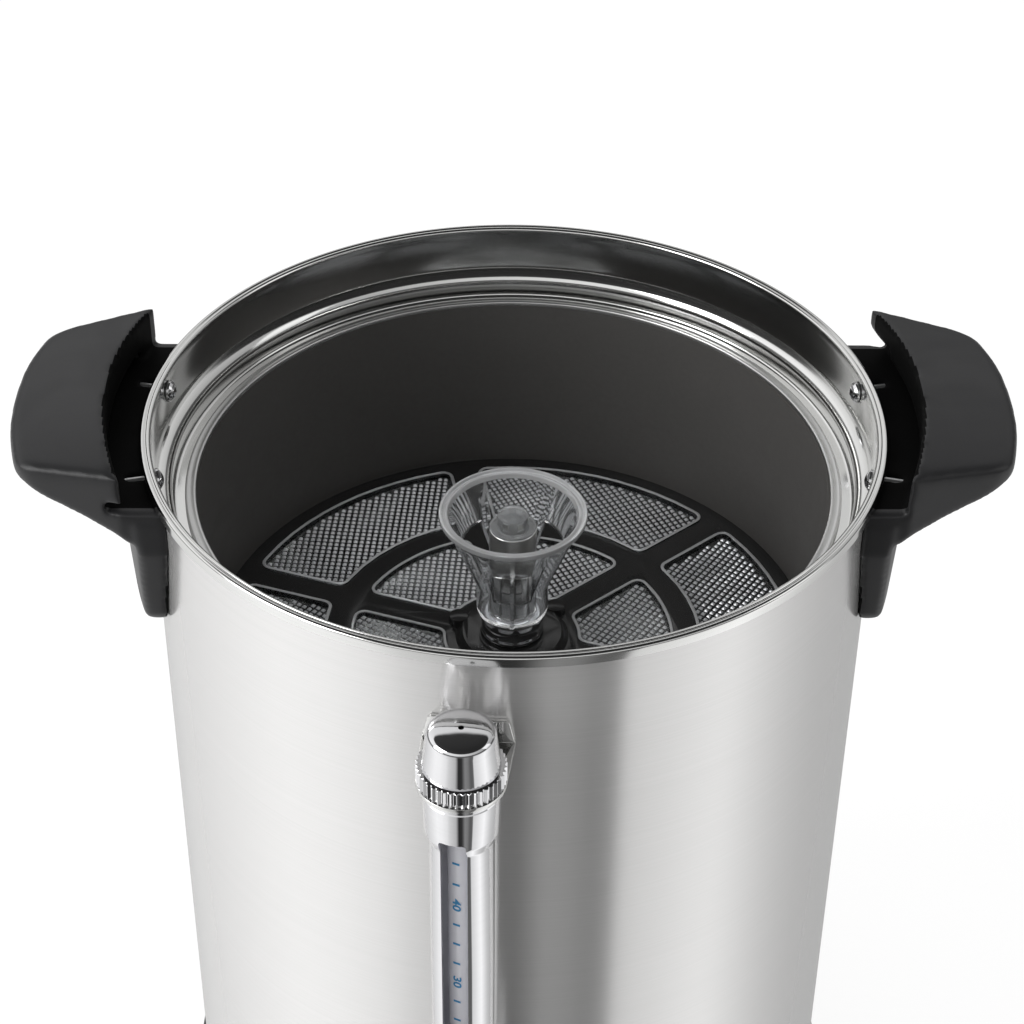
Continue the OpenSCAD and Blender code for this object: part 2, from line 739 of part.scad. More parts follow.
// Lever with a cam foot and a broad thumb paddle
module tap_lever() {
    half_w = 7.5;
    color([0.12, 0.12, 0.13]) at_valve() difference() {
        intersection() {
            translate([0, 0, pin_z]) rotate([90, 0, 90]) linear_extrude(height = 22, center = true) polygon(concat(
                [for (i = [20:-1:0]) cam_point(3 * i)],
                [[3, -cam_low], [5.2, -4.6]],
                arc([5, 1], 3.4, -50, 60, 6),
                [[4.6, 12], [3.4, 22], [2.2, 34]],
                arc([-2.6, 41], 4.4, 30, 170, 8),
                [[-5.4, 26], [-7.4, 12], [-9.6, 3]]
            ));
            translate([0, 12, pin_z]) rotate([90, 0, 0]) linear_extrude(height = 30) polygon([
                [-half_w, -10], [half_w, -10], [half_w, 10], [10.5, 30], [10.5, 42], [8, 46],
                [-8, 46], [-10.5, 42], [-10.5, 30], [-half_w, 10]
            ]);
        }
        translate([-3.3, 0, pin_z]) rotate([0, 90, 0]) cylinder(h = 6.6, r = 10.5);
        translate([-20, 0, pin_z]) rotate([0, 90, 0]) cylinder(h = 40, r = pin_r + 0.08, $fn = 32);
    }
}

// Black base skirt with openings for the switch, the lamps and the inlet
module base_skirt() {
    z0 = foot_h - 1;
    lip_z = plate_z + plate_t + 0.05;
    lip_r = skirt_r - skirt_wall - 5;
    pad_low = panel_z - 14;
    recess_top = panel_z + 12.4;
    color([0.1, 0.1, 0.11]) difference() {
        union() {
            rotate_extrude() polygon(concat(
            [[skirt_r - skirt_wall, z0], [skirt_r - 1, z0], [skirt_r, z0 + 1.5]],
            arc([shell_r + 1.4, skirt_z - 2], 2, 10, 90, 5),
            [[shell_r + 0.1, skirt_z], [shell_r + 0.1, shell_foot_z], [shell_r - 8, shell_foot_z],
             [shell_r - 8, shell_foot_z - 3], [shell_r + 0.2, shell_foot_z - 3], [lip_r + 4.6, lip_z + 4],
             [lip_r, lip_z + 2], [lip_r, lip_z], [skirt_r - skirt_wall, lip_z]]
            ));
            translate([-27, inlet_y - 7, pad_low]) cube([54, 7, shell_foot_z - pad_low]);
        }
        at_panel(0) translate([-10.6, -10, -7.1]) cube([21.2, 20, 14.2]);
        for (a = [-lamp_turn, lamp_turn])
            at_panel(a) translate([0, 15, 0]) rotate([90, 0, 0]) cylinder(h = 30, r = 3.55, $fn = 48);
        translate([-14.1, inlet_y - 20, panel_z - 10.1]) cube([28.2, 30, 20.2]);
        translate([-26, inlet_y, pad_low + 1]) cube([52, 10, recess_top - pad_low - 1]);
        for (x = [-20, 20])
            translate([x, inlet_y - 20, panel_z]) rotate([-90, 0, 0]) cylinder(h = 30, r = 1.75, $fn = 32);
    }
}

// Steel plate under the base with vents, and holes for the screws and the tie rod
module base_plate() {
    color("darkgray") difference() {
        translate([0, 0, plate_z]) cylinder(h = plate_t, r = skirt_r - skirt_wall - 0.3);
        for (a = [45:90:359])
            rotate([0, 0, a]) translate([foot_reach, 0, 0]) cylinder(h = 30, r = 2.1, $fn = 32);
        cylinder(h = 30, r = 3.2, $fn = 32);
        for (a = [0:90:359], k = [-2:2])
            rotate([0, 0, a]) translate([50, k * 8 - 1.5, 0]) cube([24, 3, 30]);
    }
}

// Four rubber feet with recesses for their screws
module feet() {
    color([0.08, 0.08, 0.08]) for (a = [45:90:359])
        rotate([0, 0, a]) translate([foot_reach, 0, 0]) difference() {
            cylinder(h = plate_z - 0.02, r1 = 9, r2 = 10.5);
            translate([0, 0, -1]) cylinder(h = 3.8, r = 4.6);
            translate([0, 0, -1]) cylinder(h = 20, r = 2.1, $fn = 32);
        }
}

// Screws that hold the feet and the plate
module foot_screws() {
    color("silver") for (a = [45:90:359])
        rotate([0, 0, a]) translate([foot_reach, 0, 0]) {
            translate([0, 0, 1.2]) cylinder(h = 1.55, r = 3.8, $fn = 32);
            translate([0, 0, 2.7]) cylinder(h = 10.5, r = 2, $fn = 32);
        }
}

// Tie rod welded under the well, which pulls the plate up
module tie_rod() {
    color("silver") translate([0, 0, plate_z - 4]) cylinder(h = well_floor_z - sheet - plate_z + 3.95, r = 3, $fn = 48);
}

module tie_nut() {
    color("silver") translate([0, 0, plate_z - 2.6]) difference() {
        cylinder(h = 2.55, r = 5.5, $fn = 6);
        translate([0, 0, -1]) cylinder(h = 8, r = 3.02, $fn = 48);
    }
}

// Aluminium plate that spreads the heat under the tank
module heater_plate() {
    color("silver") ring(well_r + 3, 56, tank_floor_z - sheet - 2.6, tank_floor_z - sheet - 0.05);
}

// Round element for boiling, with its two terminals
module boil_heater() {
    z = tank_floor_z - sheet - 2.7 - 4.1;
    color([0.35, 0.33, 0.32]) union() {
        rotate([0, 0, 20]) rotate_extrude(angle = 320) translate([40, z]) circle(r = 4, $fn = 32);
        for (a = [20, 340])
            rotate([0, 0, a]) translate([40, 0, z - 14]) cylinder(h = 14, r = 2, $fn = 32);
    }
}

// Smaller element that keeps the water warm
module warm_heater() {
    z = tank_floor_z - sheet - 2.7 - 3.1;
    color([0.45, 0.42, 0.4]) union() {
        rotate([0, 0, 200]) rotate_extrude(angle = 320) translate([51, z]) circle(r = 3, $fn = 32);
        for (a = [200, 160])
            rotate([0, 0, a]) translate([51, 0, z - 12]) cylinder(h = 12, r = 1.6, $fn = 32);
    }
}

// Disc thermostat clipped under the tank
module thermostat() {
    color("burlywood") translate([0, 74, tank_floor_z - sheet - 9.1]) {
        cylinder(h = 9, r = 8);
        translate([0, 0, -3]) cylinder(h = 3.01, r = 5);
    }
}

// One-shot thermal cut-out
module thermal_cutout() {
    color("ivory") translate([0, -74, tank_floor_z - sheet - 7.1]) {
        cylinder(h = 7, r = 7);
        translate([0, 0, -3]) cylinder(h = 3.01, r = 4.5);
    }
}

// Bundle of wires that runs from the inlet round the base to the switch
module wiring_loom() {
    color("darkred") rotate([0, 0, -82]) rotate_extrude(angle = 164) translate([101, panel_z]) circle(r = 2.4, $fn = 32);
}

// Switch body behind the skirt, with its frame outside
module switch_body() {
    color([0.07, 0.07, 0.07]) at_panel(0) difference() {
        union() {
            translate([-10.5, -0.8, -7]) cube([21, 28, 14]);
            translate([-12.5, -1.8, -9]) cube([25, 1.75, 18]);
        }
        translate([-8.5, -5, -5.5]) cube([17, 10, 11]);
        translate([0, 1, 0]) rotate([0, 90, 0]) cylinder(h = 19.2, r = 1.25, center = true, $fn = 32);
    }
}

// Rocker that turns about a horizontal axis, on pivots in the switch body
module switch_rocker() {
    color([0.75, 0.1, 0.08]) at_panel(0) translate([0, 1, 0]) rotate([-10, 0, 0]) rotate([0, 90, 0]) union() {
        linear_extrude(height = 16.6, center = true)
            polygon([[-4.6, 0], [-4.9, -3.4], [0, -2], [4.9, -3.4], [4.6, 0], [0, 1.6]]);
        cylinder(h = 16.6, r = 1.9, center = true, $fn = 48);
        cylinder(h = 19, r = 1.2, center = true, $fn = 32);
    }
}

// Lens of a lamp in the skirt
module lamp(turn) {
    at_panel(turn) rotate([90, 0, 0]) {
        translate([0, 0, -8]) cylinder(h = 8.2, r = 3.5, $fn = 48);
        translate([0, 0, 0.15]) cylinder(h = 1.4, r1 = 4.6, r2 = 3, $fn = 48);
    }
}

module power_lamp() {
    color("orange") lamp(-lamp_turn);
}

module ready_lamp() {
    color("limegreen") lamp(lamp_turn);
}

// Three-pin power inlet at the back
module inlet_socket() {
    color([0.08, 0.08, 0.08]) difference() {
        union() {
            translate([-14, inlet_y - 22, panel_z - 10]) cube([28, 23, 20]);
            translate([-25, inlet_y + 0.05, panel_z - 12]) cube([50, 2.4, 24]);
        }
        translate([-12, inlet_y - 16, panel_z - 8]) cube([24, 40, 16]);
        for (x = [-20, 20])
            translate([x, inlet_y - 5, panel_z]) rotate([-90, 0, 0]) cylinder(h = 20, r = 1.75, $fn = 32);
        for (p = [[-7, -1], [7, -1], [0, 3]])
            translate([p[0] - 2.02, inlet_y - 30, panel_z + p[1] - 1.02]) cube([4.04, 20, 2.04]);
    }
}

// Pins of the inlet
module inlet_pins() {
    color("silver") for (p = [[-7, -1], [7, -1], [0, 3]])
        translate([p[0] - 2, inlet_y - 24, panel_z + p[1] - 1]) cube([4, 16, 2]);
}

// Screws that hold the inlet to the skirt
module inlet_screws() {
    color("silver") for (x = [-20, 20])
        translate([x, inlet_y + 2.5, panel_z]) rotate([90, 0, 0]) {
            translate([0, 0, -1.2]) cylinder(h = 1.2, r = 3, $fn = 32);
            translate([0, 0, -0.01]) cylinder(h = 10, r = 1.7, $fn = 32);
        }
}

outer_shell();
tank_collar();
tank_ledge();
tank_wall();
tank_bottom();
basket_wall();
floor_ring();
basket_rim();
basket_frame();
outer_screens();
inner_screens();
hub_bush();
percolator_tube();
pump_bell();
pump_valve();
funnel_cap();
left_handle();
right_handle();
handle_studs();
stud_washers();
cap_nuts();
gauge_bracket();
gauge_guard();
gauge_glass();
gauge_cap();
gauge_top_seal();
gauge_bottom_seal();
tap_body();
tap_gasket();
tap_spacer();
tank_seal();
tap_nut();
tap_seat_cup();
tap_stem();
tap_spring();
tap_bonnet();
tap_pin();
tap_lever();
base_skirt();
base_plate();
feet();
foot_screws();
tie_rod();
tie_nut();
heater_plate();
boil_heater();
warm_heater();
thermostat();
thermal_cutout();
wiring_loom();
switch_body();
switch_rocker();
power_lamp();
ready_lamp();
inlet_socket();
inlet_pins();
inlet_screws();
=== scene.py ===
# Hot water urn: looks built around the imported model, in metres, origin on the table under the urn
import bpy
import json
import math
from mathutils import Matrix, Vector

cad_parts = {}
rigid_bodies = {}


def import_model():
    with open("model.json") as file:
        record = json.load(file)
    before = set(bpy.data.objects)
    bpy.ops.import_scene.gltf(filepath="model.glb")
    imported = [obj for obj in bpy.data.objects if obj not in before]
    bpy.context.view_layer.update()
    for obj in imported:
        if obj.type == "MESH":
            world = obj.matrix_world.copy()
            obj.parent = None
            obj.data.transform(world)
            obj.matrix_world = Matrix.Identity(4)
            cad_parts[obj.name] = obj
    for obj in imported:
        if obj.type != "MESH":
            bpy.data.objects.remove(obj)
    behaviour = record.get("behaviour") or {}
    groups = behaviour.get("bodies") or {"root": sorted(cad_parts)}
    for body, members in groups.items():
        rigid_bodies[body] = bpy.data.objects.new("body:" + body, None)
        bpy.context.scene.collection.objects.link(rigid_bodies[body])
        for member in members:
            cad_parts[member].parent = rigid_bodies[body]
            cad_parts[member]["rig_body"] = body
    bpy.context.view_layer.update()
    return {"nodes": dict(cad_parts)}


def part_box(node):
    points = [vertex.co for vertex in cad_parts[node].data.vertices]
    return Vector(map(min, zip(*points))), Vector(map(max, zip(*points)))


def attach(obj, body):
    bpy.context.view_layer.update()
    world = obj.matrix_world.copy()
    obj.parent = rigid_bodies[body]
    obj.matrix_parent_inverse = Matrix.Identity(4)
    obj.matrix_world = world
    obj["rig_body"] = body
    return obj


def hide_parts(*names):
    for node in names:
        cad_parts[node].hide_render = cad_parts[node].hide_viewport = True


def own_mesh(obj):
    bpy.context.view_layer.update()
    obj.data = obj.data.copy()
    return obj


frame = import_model()
nodes = frame["nodes"]
print("frame loaded:", len(nodes), "nodes")

mm = 0.001
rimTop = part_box("tank_collar")[1].z / mm       # 350
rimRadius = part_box("tank_collar")[1].x / mm    # 125.5
frontTurn = math.radians(-6.8)                 # tap and gauge, from the mid-plane between the handles
pictureTurn = math.radians(-0.8)               # the photo's mid-plane against the handles


# Small helpers

def deselectAll():
    bpy.ops.object.select_all(action="DESELECT")


def pick(obj):
    deselectAll()
    obj.select_set(True)
    bpy.context.view_layer.objects.active = obj


def editMesh(action="SELECT"):
    bpy.ops.object.mode_set(mode="EDIT")
    bpy.ops.mesh.select_all(action=action)


def leaveEdit():
    bpy.ops.object.mode_set(mode="OBJECT")


# Selects the vertices or polygons whose flag is true, and goes on in edit mode
def selectOnly(obj, kind, flags):
    pick(obj)
    editMesh("DESELECT")
    leaveEdit()
    getattr(obj.data, kind).foreach_set("select", flags)
    bpy.ops.object.mode_set(mode="EDIT")


# Turns or moves a piece's mesh, with its object kept at the origin
def settle(obj, matrix):
    pick(obj)
    obj.matrix_world = matrix
    bpy.ops.object.transform_apply(location=True, rotation=True, scale=True)


def turnBy(degrees):
    return Matrix.Rotation(math.radians(degrees), 4, "Z")


def applyModifier(obj, kind, **values):
    pick(obj)
    modifier = obj.modifiers.new(kind.title(), kind)
    for name, value in values.items():
        setattr(modifier, name, value)
    bpy.ops.object.modifier_apply(modifier=modifier.name)


def arcPoints(centre, radius, start, end, steps):
    turns = [math.radians(start + (end - start) * i / steps) for i in range(steps + 1)]
    return [(centre[0] + radius * math.cos(a), centre[1] + radius * math.sin(a)) for a in turns]


# A turned piece: one ring of points, extruded along the profile (radius, height) in millimetres
def turned(name, profile, sides=192):
    deselectAll()
    pole = 0.004               # radius of the ring that closes a profile on the axis
    points = [(max(r, pole) * mm, z * mm) for r, z in profile]
    bpy.ops.mesh.primitive_circle_add(vertices=sides, radius=points[0][0], location=(0, 0, points[0][1]))
    obj = bpy.context.object
    obj.name = name
    bpy.ops.object.transform_apply(location=True)
    editMesh()
    for (r0, z0), (r1, z1) in zip(points, points[1:]):
        bpy.ops.mesh.extrude_edges_move(TRANSFORM_OT_translate={"value": (0, 0, z1 - z0)})
        bpy.ops.transform.resize(value=(r1 / r0, r1 / r0, 1), center_override=(0, 0, z1))
    bpy.ops.mesh.select_all(action="SELECT")
    bpy.ops.mesh.remove_doubles(threshold=0.00001)
    bpy.ops.mesh.normals_make_consistent(inside=False)
    leaveEdit()
    return obj


def smooth(obj, degrees=35):
    pick(obj)
    bpy.ops.object.shade_smooth_by_angle(angle=math.radians(degrees))


def bevelEdges(obj, width, segments=2, degrees=30):
    applyModifier(obj, "BEVEL", width=width * mm, segments=segments, limit_method="ANGLE",
                  angle_limit=math.radians(degrees), harden_normals=False)


# Moves a piece that was made about the Z axis to the gauge's axis
def toFront(obj, reach):
    settle(obj, Matrix.Rotation(frontTurn, 4, "Z") @ Matrix.Translation((0, -reach * mm, 0)))


def duplicate(obj):
    pick(obj)
    bpy.ops.object.duplicate(linked=False)
    return bpy.context.object


def joinAll(parts, name):
    deselectAll()
    for obj in parts:
        obj.select_set(True)
    bpy.context.view_layer.objects.active = parts[0]
    bpy.ops.object.join()
    joined = bpy.context.object
    joined.name = name
    return joined


def block(size, place, turn=0.0):
    deselectAll()
    bpy.ops.mesh.primitive_cube_add(size=1)
    obj = bpy.context.object
    settle(obj, turnBy(turn) @ Matrix.Translation([v * mm for v in place])
           @ Matrix.Diagonal([v * mm for v in size] + [1]))
    return obj


# A flat outline (x, y) drawn point by point, filled and extruded upwards from z
def plate(name, outline, z, height):
    deselectAll()
    bpy.ops.mesh.primitive_plane_add(size=0.01, location=(0, 0, 0))
    obj = bpy.context.object
    obj.name = name
    editMesh()
    bpy.ops.mesh.merge(type="CENTER")
    x0, y0 = 0.0, 0.0
    for index, (x, y) in enumerate(outline):
        step = ((x - x0) * mm, (y - y0) * mm, 0)
        if index:
            bpy.ops.mesh.extrude_vertices_move(TRANSFORM_OT_translate={"value": step})
        else:
            bpy.ops.transform.translate(value=(step[0], step[1], z * mm))
        x0, y0 = x, y
    bpy.ops.mesh.select_all(action="SELECT")
    bpy.ops.mesh.edge_face_add()
    bpy.ops.mesh.extrude_region_move(TRANSFORM_OT_translate={"value": (0, 0, height * mm)})
    bpy.ops.mesh.select_all(action="SELECT")
    bpy.ops.mesh.normals_make_consistent(inside=False)
    leaveEdit()
    return obj


# Cuts one piece out of another, or welds it on, and drops the second
def combine(obj, other, operation="DIFFERENCE"):
    applyModifier(obj, "BOOLEAN", object=other, operation=operation, solver="EXACT")
    bpy.data.objects.remove(other)


# A merged copy of a CAD node, to be rounded off and shown in the node's place
def nodeCopy(nodeName, pieceName):
    deselectAll()
    obj = bpy.data.objects.new(pieceName, nodes[nodeName].data.copy())
    bpy.context.collection.objects.link(obj)
    pick(obj)
    editMesh()
    bpy.ops.mesh.remove_doubles(threshold=0.000005)
    bpy.ops.mesh.dissolve_limited(angle_limit=math.radians(1))
    leaveEdit()
    return obj


# The CAD node with its edges rounded, in its own finish and on its own body
def roundedCopy(nodeName, pieceName, width):
    node = nodes[nodeName]
    look = node.material_slots[0].material
    piece = nodeCopy(nodeName, pieceName)
    bevelEdges(piece, width)
    smooth(piece, 40)
    finishPiece(piece, node["slotName"], node["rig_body"], nodeName, look=look)


# Gives another look to the faces whose middle (in millimetres) and normal pass a test
def paintFaces(obj, look, chosen):
    obj.data.materials.append(look)
    obj.active_material_index = len(obj.data.materials) - 1
    selectOnly(obj, "polygons", [chosen(face.center / mm, face.normal) for face in obj.data.polygons])
    bpy.ops.mesh.select_mode(type="FACE")
    bpy.ops.object.material_slot_assign()
    bpy.ops.mesh.select_mode(type="VERT")
    leaveEdit()


def coat(obj, look):
    obj.data.materials.clear()
    obj.data.materials.append(look)


def placePiece(obj, body, nodeName):
    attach(obj, body)
    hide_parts(nodeName)


def finishPiece(obj, slotName, body, nodeName, look=None):
    coat(obj, look or finishes[slotName])
    placePiece(obj, body, nodeName)


# A shader node with its settings by name, and the values of its inputs by label or number
def addNode(tree, kind, values=None, **settings):
    node = tree.nodes.new("ShaderNode" + kind)
    for name, value in settings.items():
        setattr(node, name, value)
    for label, value in (values or {}).items():
        node.inputs[label].default_value = value
    return node


# Links outputs to inputs, given in pairs
def connect(tree, *pairs):
    for source, target in pairs:
        tree.links.new(source, target)


# Camera, fitted to the rim, the basket's rim and the floor ring in the photo

cameraPlan = {
    "place": (0.0, -0.6646875, 0.8168),
    "pitchDown": 0.6528,
    "yaw": -0.0006,
    "roll": 0.0095,
    "lens": 84.67,
    "sensor": 36.0,
}


def addCamera():
    bpy.ops.object.camera_add()
    camera = bpy.context.object
    camera.name = "photoCamera"
    camera.data.lens = cameraPlan["lens"]
    camera.data.sensor_width = cameraPlan["sensor"]
    camera.data.clip_start = 0.01
    turn = (Matrix.Rotation(-cameraPlan["yaw"], 4, "Z")
            @ Matrix.Rotation(math.pi / 2 - cameraPlan["pitchDown"], 4, "X")
            @ Matrix.Rotation(cameraPlan["roll"], 4, "Z"))
    place = Matrix.Translation(cameraPlan["place"])
    camera.matrix_world = Matrix.Rotation(pictureTurn, 4, "Z") @ place @ turn
    bpy.context.scene.camera = camera


addCamera()
bpy.context.scene.view_settings.view_transform = "Standard"
print("camera placed")


# Studio: pale floor, soft lamps, and a sky that polished metal mirrors as light and dark bands

studio = {
    "floorSize": 6.0,
    "floorColour": (0.95, 0.95, 0.95, 1),
    "floorGlow": 1.12,          # level at which the camera sees the floor
    "floorShadowShare": 0.22,   # how much of the floor's look comes from the light that falls on it
    "skyLevel": 0.40,           # light of the sky on the object
    "mirrorLevel": 1.6,
    # brightness mirrored in the metal below eye level: (compass degrees from the front, + towards +X, level)
    "mirrored": [(-180, 0.34), (-160, 0.42), (-138, 0.54), (-126, 0.56), (-115, 0.64), (-104, 0.70),
                 (-91, 0.79),
                 (-78, 0.86), (-60, 0.84), (-43, 0.73), (-34, 0.58), (-16, 0.42), (-8, 0.02), (2, 0.03),
                 (11, 0.20), (19, 0.17), (26, 0.09), (33.5, 0.11), (35.5, 0.60), (49, 0.70), (60, 0.80),
                 (72, 0.89), (85, 0.70), (99, 0.52), (116, 0.40), (139, 0.36), (160, 0.34), (180, 0.34)],
    # and above it: (upward part of the direction, level)
    "mirroredAbove": [(-0.15, 0.30), (0.05, 0.08), (0.26, 0.10), (0.32, 0.58), (0.71, 0.58), (0.735, 0.03),
                      (1.0, 0.02)],
    "horizonBlend": 0.12,
    "leftShare": 0.5,           # how much brighter the sky above is on the left than in the middle
    # name, place, size, watts
    "lamps": [
        ("topLamp", (0.0, 0.25, 1.9), (1.6, 1.2), 10.0),
        ("leftLamp", (-1.7, -0.7, 1.3), (1.2, 1.4), 26.0),
        ("rightLamp", (1.9, -0.2, 1.2), (0.8, 1.4), 3.0),
    ],
    "lampAim": (0, 0, 0.25),
}


# One where the camera sees the floor or the sky, itself or through a clear piece, and zero elsewhere
def seenDirectly(tree, paths):
    direct = addNode(tree, "Math", operation="MAXIMUM")
    connect(tree, (paths.outputs["Is Camera Ray"], direct.inputs[0]),
            (paths.outputs["Is Transmission Ray"], direct.inputs[1]))
    return direct.outputs[0]


def addFloor():
    deselectAll()
    bpy.ops.mesh.primitive_plane_add(size=studio["floorSize"])
    floor = bpy.context.object
    floor.name = "studioFloor"
    look = bpy.data.materials.new("whiteFloor")
    look.use_nodes = True
    tree = look.node_tree
    tree.nodes.clear()
    paths = addNode(tree, "LightPath")
    paint = addNode(tree, "BsdfDiffuse", {"Color": studio["floorColour"]})
    glow = addNode(tree, "Emission", {"Color": (1, 1, 1, 1), "Strength": studio["floorGlow"]})
    seen = addNode(tree, "Math", {1: 1 - studio["floorShadowShare"]}, operation="MULTIPLY")
    mix = addNode(tree, "MixShader")
    clear = addNode(tree, "BsdfTransparent")     # mirrors look through the floor, at the sky's bands
    mirrorMix = addNode(tree, "MixShader")
    out = addNode(tree, "OutputMaterial")
    connect(tree, (seenDirectly(tree, paths), seen.inputs[0]), (seen.outputs[0], mix.inputs[0]),
            (paint.outputs[0], mix.inputs[1]), (glow.outputs[0], mix.inputs[2]),
            (paths.outputs["Is Glossy Ray"], mirrorMix.inputs[0]), (mix.outputs[0], mirrorMix.inputs[1]),
            (clear.outputs[0], mirrorMix.inputs[2]), (mirrorMix.outputs[0], out.inputs["Surface"]))
    floor.data.materials.append(look)


# A brightness that follows a list of (position, level) stops
def addStops(tree, levels):
    ramp = addNode(tree, "ValToRGB")
    stops = ramp.color_ramp.elements
    while len(stops) < len(levels):
        stops.new(0.5)
    for stop, (position, level) in zip(stops, levels):
        stop.position = position
        stop.color = (level, level, level, 1)
    return ramp


def addSky():
    world = bpy.data.worlds.new("studioSky")
    bpy.context.scene.world = world
    world.use_nodes = True
    tree = world.node_tree
    tree.nodes.clear()
    blend, left = studio["horizonBlend"], studio["leftShare"]
    place = addNode(tree, "TexCoord")
    split = addNode(tree, "SeparateXYZ")
    compass = addNode(tree, "Math", operation="ARCTAN2")
    backwards = addNode(tree, "Math", {1: -1}, operation="MULTIPLY")
    share = addNode(tree, "MapRange", {"From Min": -math.pi, "From Max": math.pi})
    height = addNode(tree, "MapRange", {"From Min": -1})
    above = addNode(tree, "MapRange", {"From Min": -blend, "From Max": blend})
    side = addNode(tree, "MapRange", {"From Min": -1, "To Min": 1 + left, "To Max": 1 - left})
    low = addStops(tree, [((turn + 180) / 360, level) for turn, level in studio["mirrored"]])
    high = addStops(tree, [((rise + 1) / 2, level) for rise, level in studio["mirroredAbove"]])
    tilted = addNode(tree, "Mix", {"Factor": 1}, data_type="RGBA", blend_type="MULTIPLY")
    top = addNode(tree, "Mix", data_type="RGBA")
    mirrored = addNode(tree, "Background", {"Strength": studio["mirrorLevel"]})
    plain = addNode(tree, "Background", {"Strength": studio["skyLevel"]})
    backdrop = addNode(tree, "Background")
    paths = addNode(tree, "LightPath")
    first = addNode(tree, "MixShader")
    second = addNode(tree, "MixShader")
    out = addNode(tree, "OutputWorld")
    # compass direction, for what lies below eye level
    connect(tree, (place.outputs["Generated"], split.inputs[0]), (split.outputs["X"], compass.inputs[0]),
            (split.outputs["Y"], backwards.inputs[0]), (backwards.outputs[0], compass.inputs[1]),
            (compass.outputs[0], share.inputs["Value"]), (share.outputs[0], low.inputs[0]))
    # height of the direction, for what lies above it, brighter on the left
    connect(tree, (split.outputs["Z"], height.inputs["Value"]), (height.outputs[0], high.inputs[0]),
            (split.outputs["X"], side.inputs["Value"]), (high.outputs[0], tilted.inputs["A"]),
            (side.outputs[0], tilted.inputs["B"]), (split.outputs["Z"], above.inputs["Value"]),
            (above.outputs[0], top.inputs["Factor"]), (low.outputs[0], top.inputs["A"]),
            (tilted.outputs["Result"], top.inputs["B"]), (top.outputs["Result"], mirrored.inputs["Color"]))
    connect(tree, (paths.outputs["Is Glossy Ray"], first.inputs[0]), (plain.outputs[0], first.inputs[1]),
            (mirrored.outputs[0], first.inputs[2]), (seenDirectly(tree, paths), second.inputs[0]),
            (first.outputs[0], second.inputs[1]), (backdrop.outputs[0], second.inputs[2]),
            (second.outputs[0], out.inputs["Surface"]))


def addLamps():
    for name, place, size, watts in studio["lamps"]:
        bpy.ops.object.light_add(type="AREA", location=place)
        lamp = bpy.context.object
        lamp.name = name
        lamp.data.shape = "RECTANGLE"
        lamp.data.size, lamp.data.size_y = size
        lamp.data.energy = watts
        lamp.visible_glossy = name != "topLamp"       # flat tops mirror the sky's bands instead
        aim = Vector(studio["lampAim"]) - Vector(place)
        lamp.rotation_euler = aim.to_track_quat("-Z", "Y").to_euler()


addFloor()
addSky()
addLamps()
print("studio built")


# Finishes: shared effects as node groups, then one material for each finish

def newGroup(name, inputs, outputs):
    group = bpy.data.node_groups.new(name, "ShaderNodeTree")
    number = "NodeSocketFloat"
    for label, value in inputs:
        socket = group.interface.new_socket(name=label, in_out="INPUT", socket_type=number)
        socket.default_value = value
    for label in outputs:
        group.interface.new_socket(name=label, in_out="OUTPUT", socket_type=number)
    return group, group.nodes.new("NodeGroupInput"), group.nodes.new("NodeGroupOutput")


# Fine lines that run round the piece: stretched noise on the object's own coordinates
def makeBrushedLines():
    group, given, result = newGroup("brushedLines", [("Along", 8.0), ("Across", 2500.0)], ["Lines", "Broad"])
    place = addNode(group, "TexCoord")
    stretch = addNode(group, "CombineXYZ")
    scaled = addNode(group, "VectorMath", operation="MULTIPLY")
    fine = addNode(group, "TexNoise", {"Scale": 1.0, "Detail": 3.0, "Roughness": 0.65})
    wider = addNode(group, "VectorMath", {1: (0.6, 0.6, 0.08)}, operation="MULTIPLY")
    broad = addNode(group, "TexNoise", {"Scale": 1.0, "Detail": 2.0})
    connect(group, (given.outputs["Along"], stretch.inputs["X"]),
            (given.outputs["Along"], stretch.inputs["Y"]),
            (given.outputs["Across"], stretch.inputs["Z"]), (place.outputs["Object"], scaled.inputs[0]),
            (stretch.outputs[0], scaled.inputs[1]), (scaled.outputs[0], fine.inputs["Vector"]),
            (scaled.outputs[0], wider.inputs[0]), (wider.outputs[0], broad.inputs["Vector"]),
            (fine.outputs[0], result.inputs["Lines"]), (broad.outputs[0], result.inputs["Broad"]))
    return group


# Soft patches left by hands, steam and a cloth
def makeSmudges():
    group, given, result = newGroup("smudges", [("Scale", 30.0), ("Low", 0.45), ("High", 0.75)], ["Mask"])
    place = addNode(group, "TexCoord")
    cloud = addNode(group, "TexNoise", {"Detail": 5.0, "Distortion": 0.6})
    limit = addNode(group, "MapRange")
    connect(group, (place.outputs["Object"], cloud.inputs["Vector"]),
            (given.outputs["Scale"], cloud.inputs["Scale"]),
            (cloud.outputs[0], limit.inputs["Value"]), (given.outputs["Low"], limit.inputs["From Min"]),
            (given.outputs["High"], limit.inputs["From Max"]), (limit.outputs[0], result.inputs["Mask"]))
    return group


# The fine texture of a steel mould, on plastic
def makeMouldedGrain():
    group, given, result = newGroup("mouldedGrain", [("Scale", 1800.0)], ["Height", "Specks"])
    place = addNode(group, "TexCoord")
    bumps = addNode(group, "TexVoronoi", feature="SMOOTH_F1")
    cloud = addNode(group, "TexNoise", {"Detail": 3.0})
    for texture in (bumps, cloud):
        connect(group, (place.outputs["Object"], texture.inputs["Vector"]),
                (given.outputs["Scale"], texture.inputs["Scale"]))
    connect(group, (bumps.outputs["Distance"], result.inputs["Height"]),
            (cloud.outputs[0], result.inputs["Specks"]))
    return group


brushedLines = makeBrushedLines()
smudges = makeSmudges()
mouldedGrain = makeMouldedGrain()


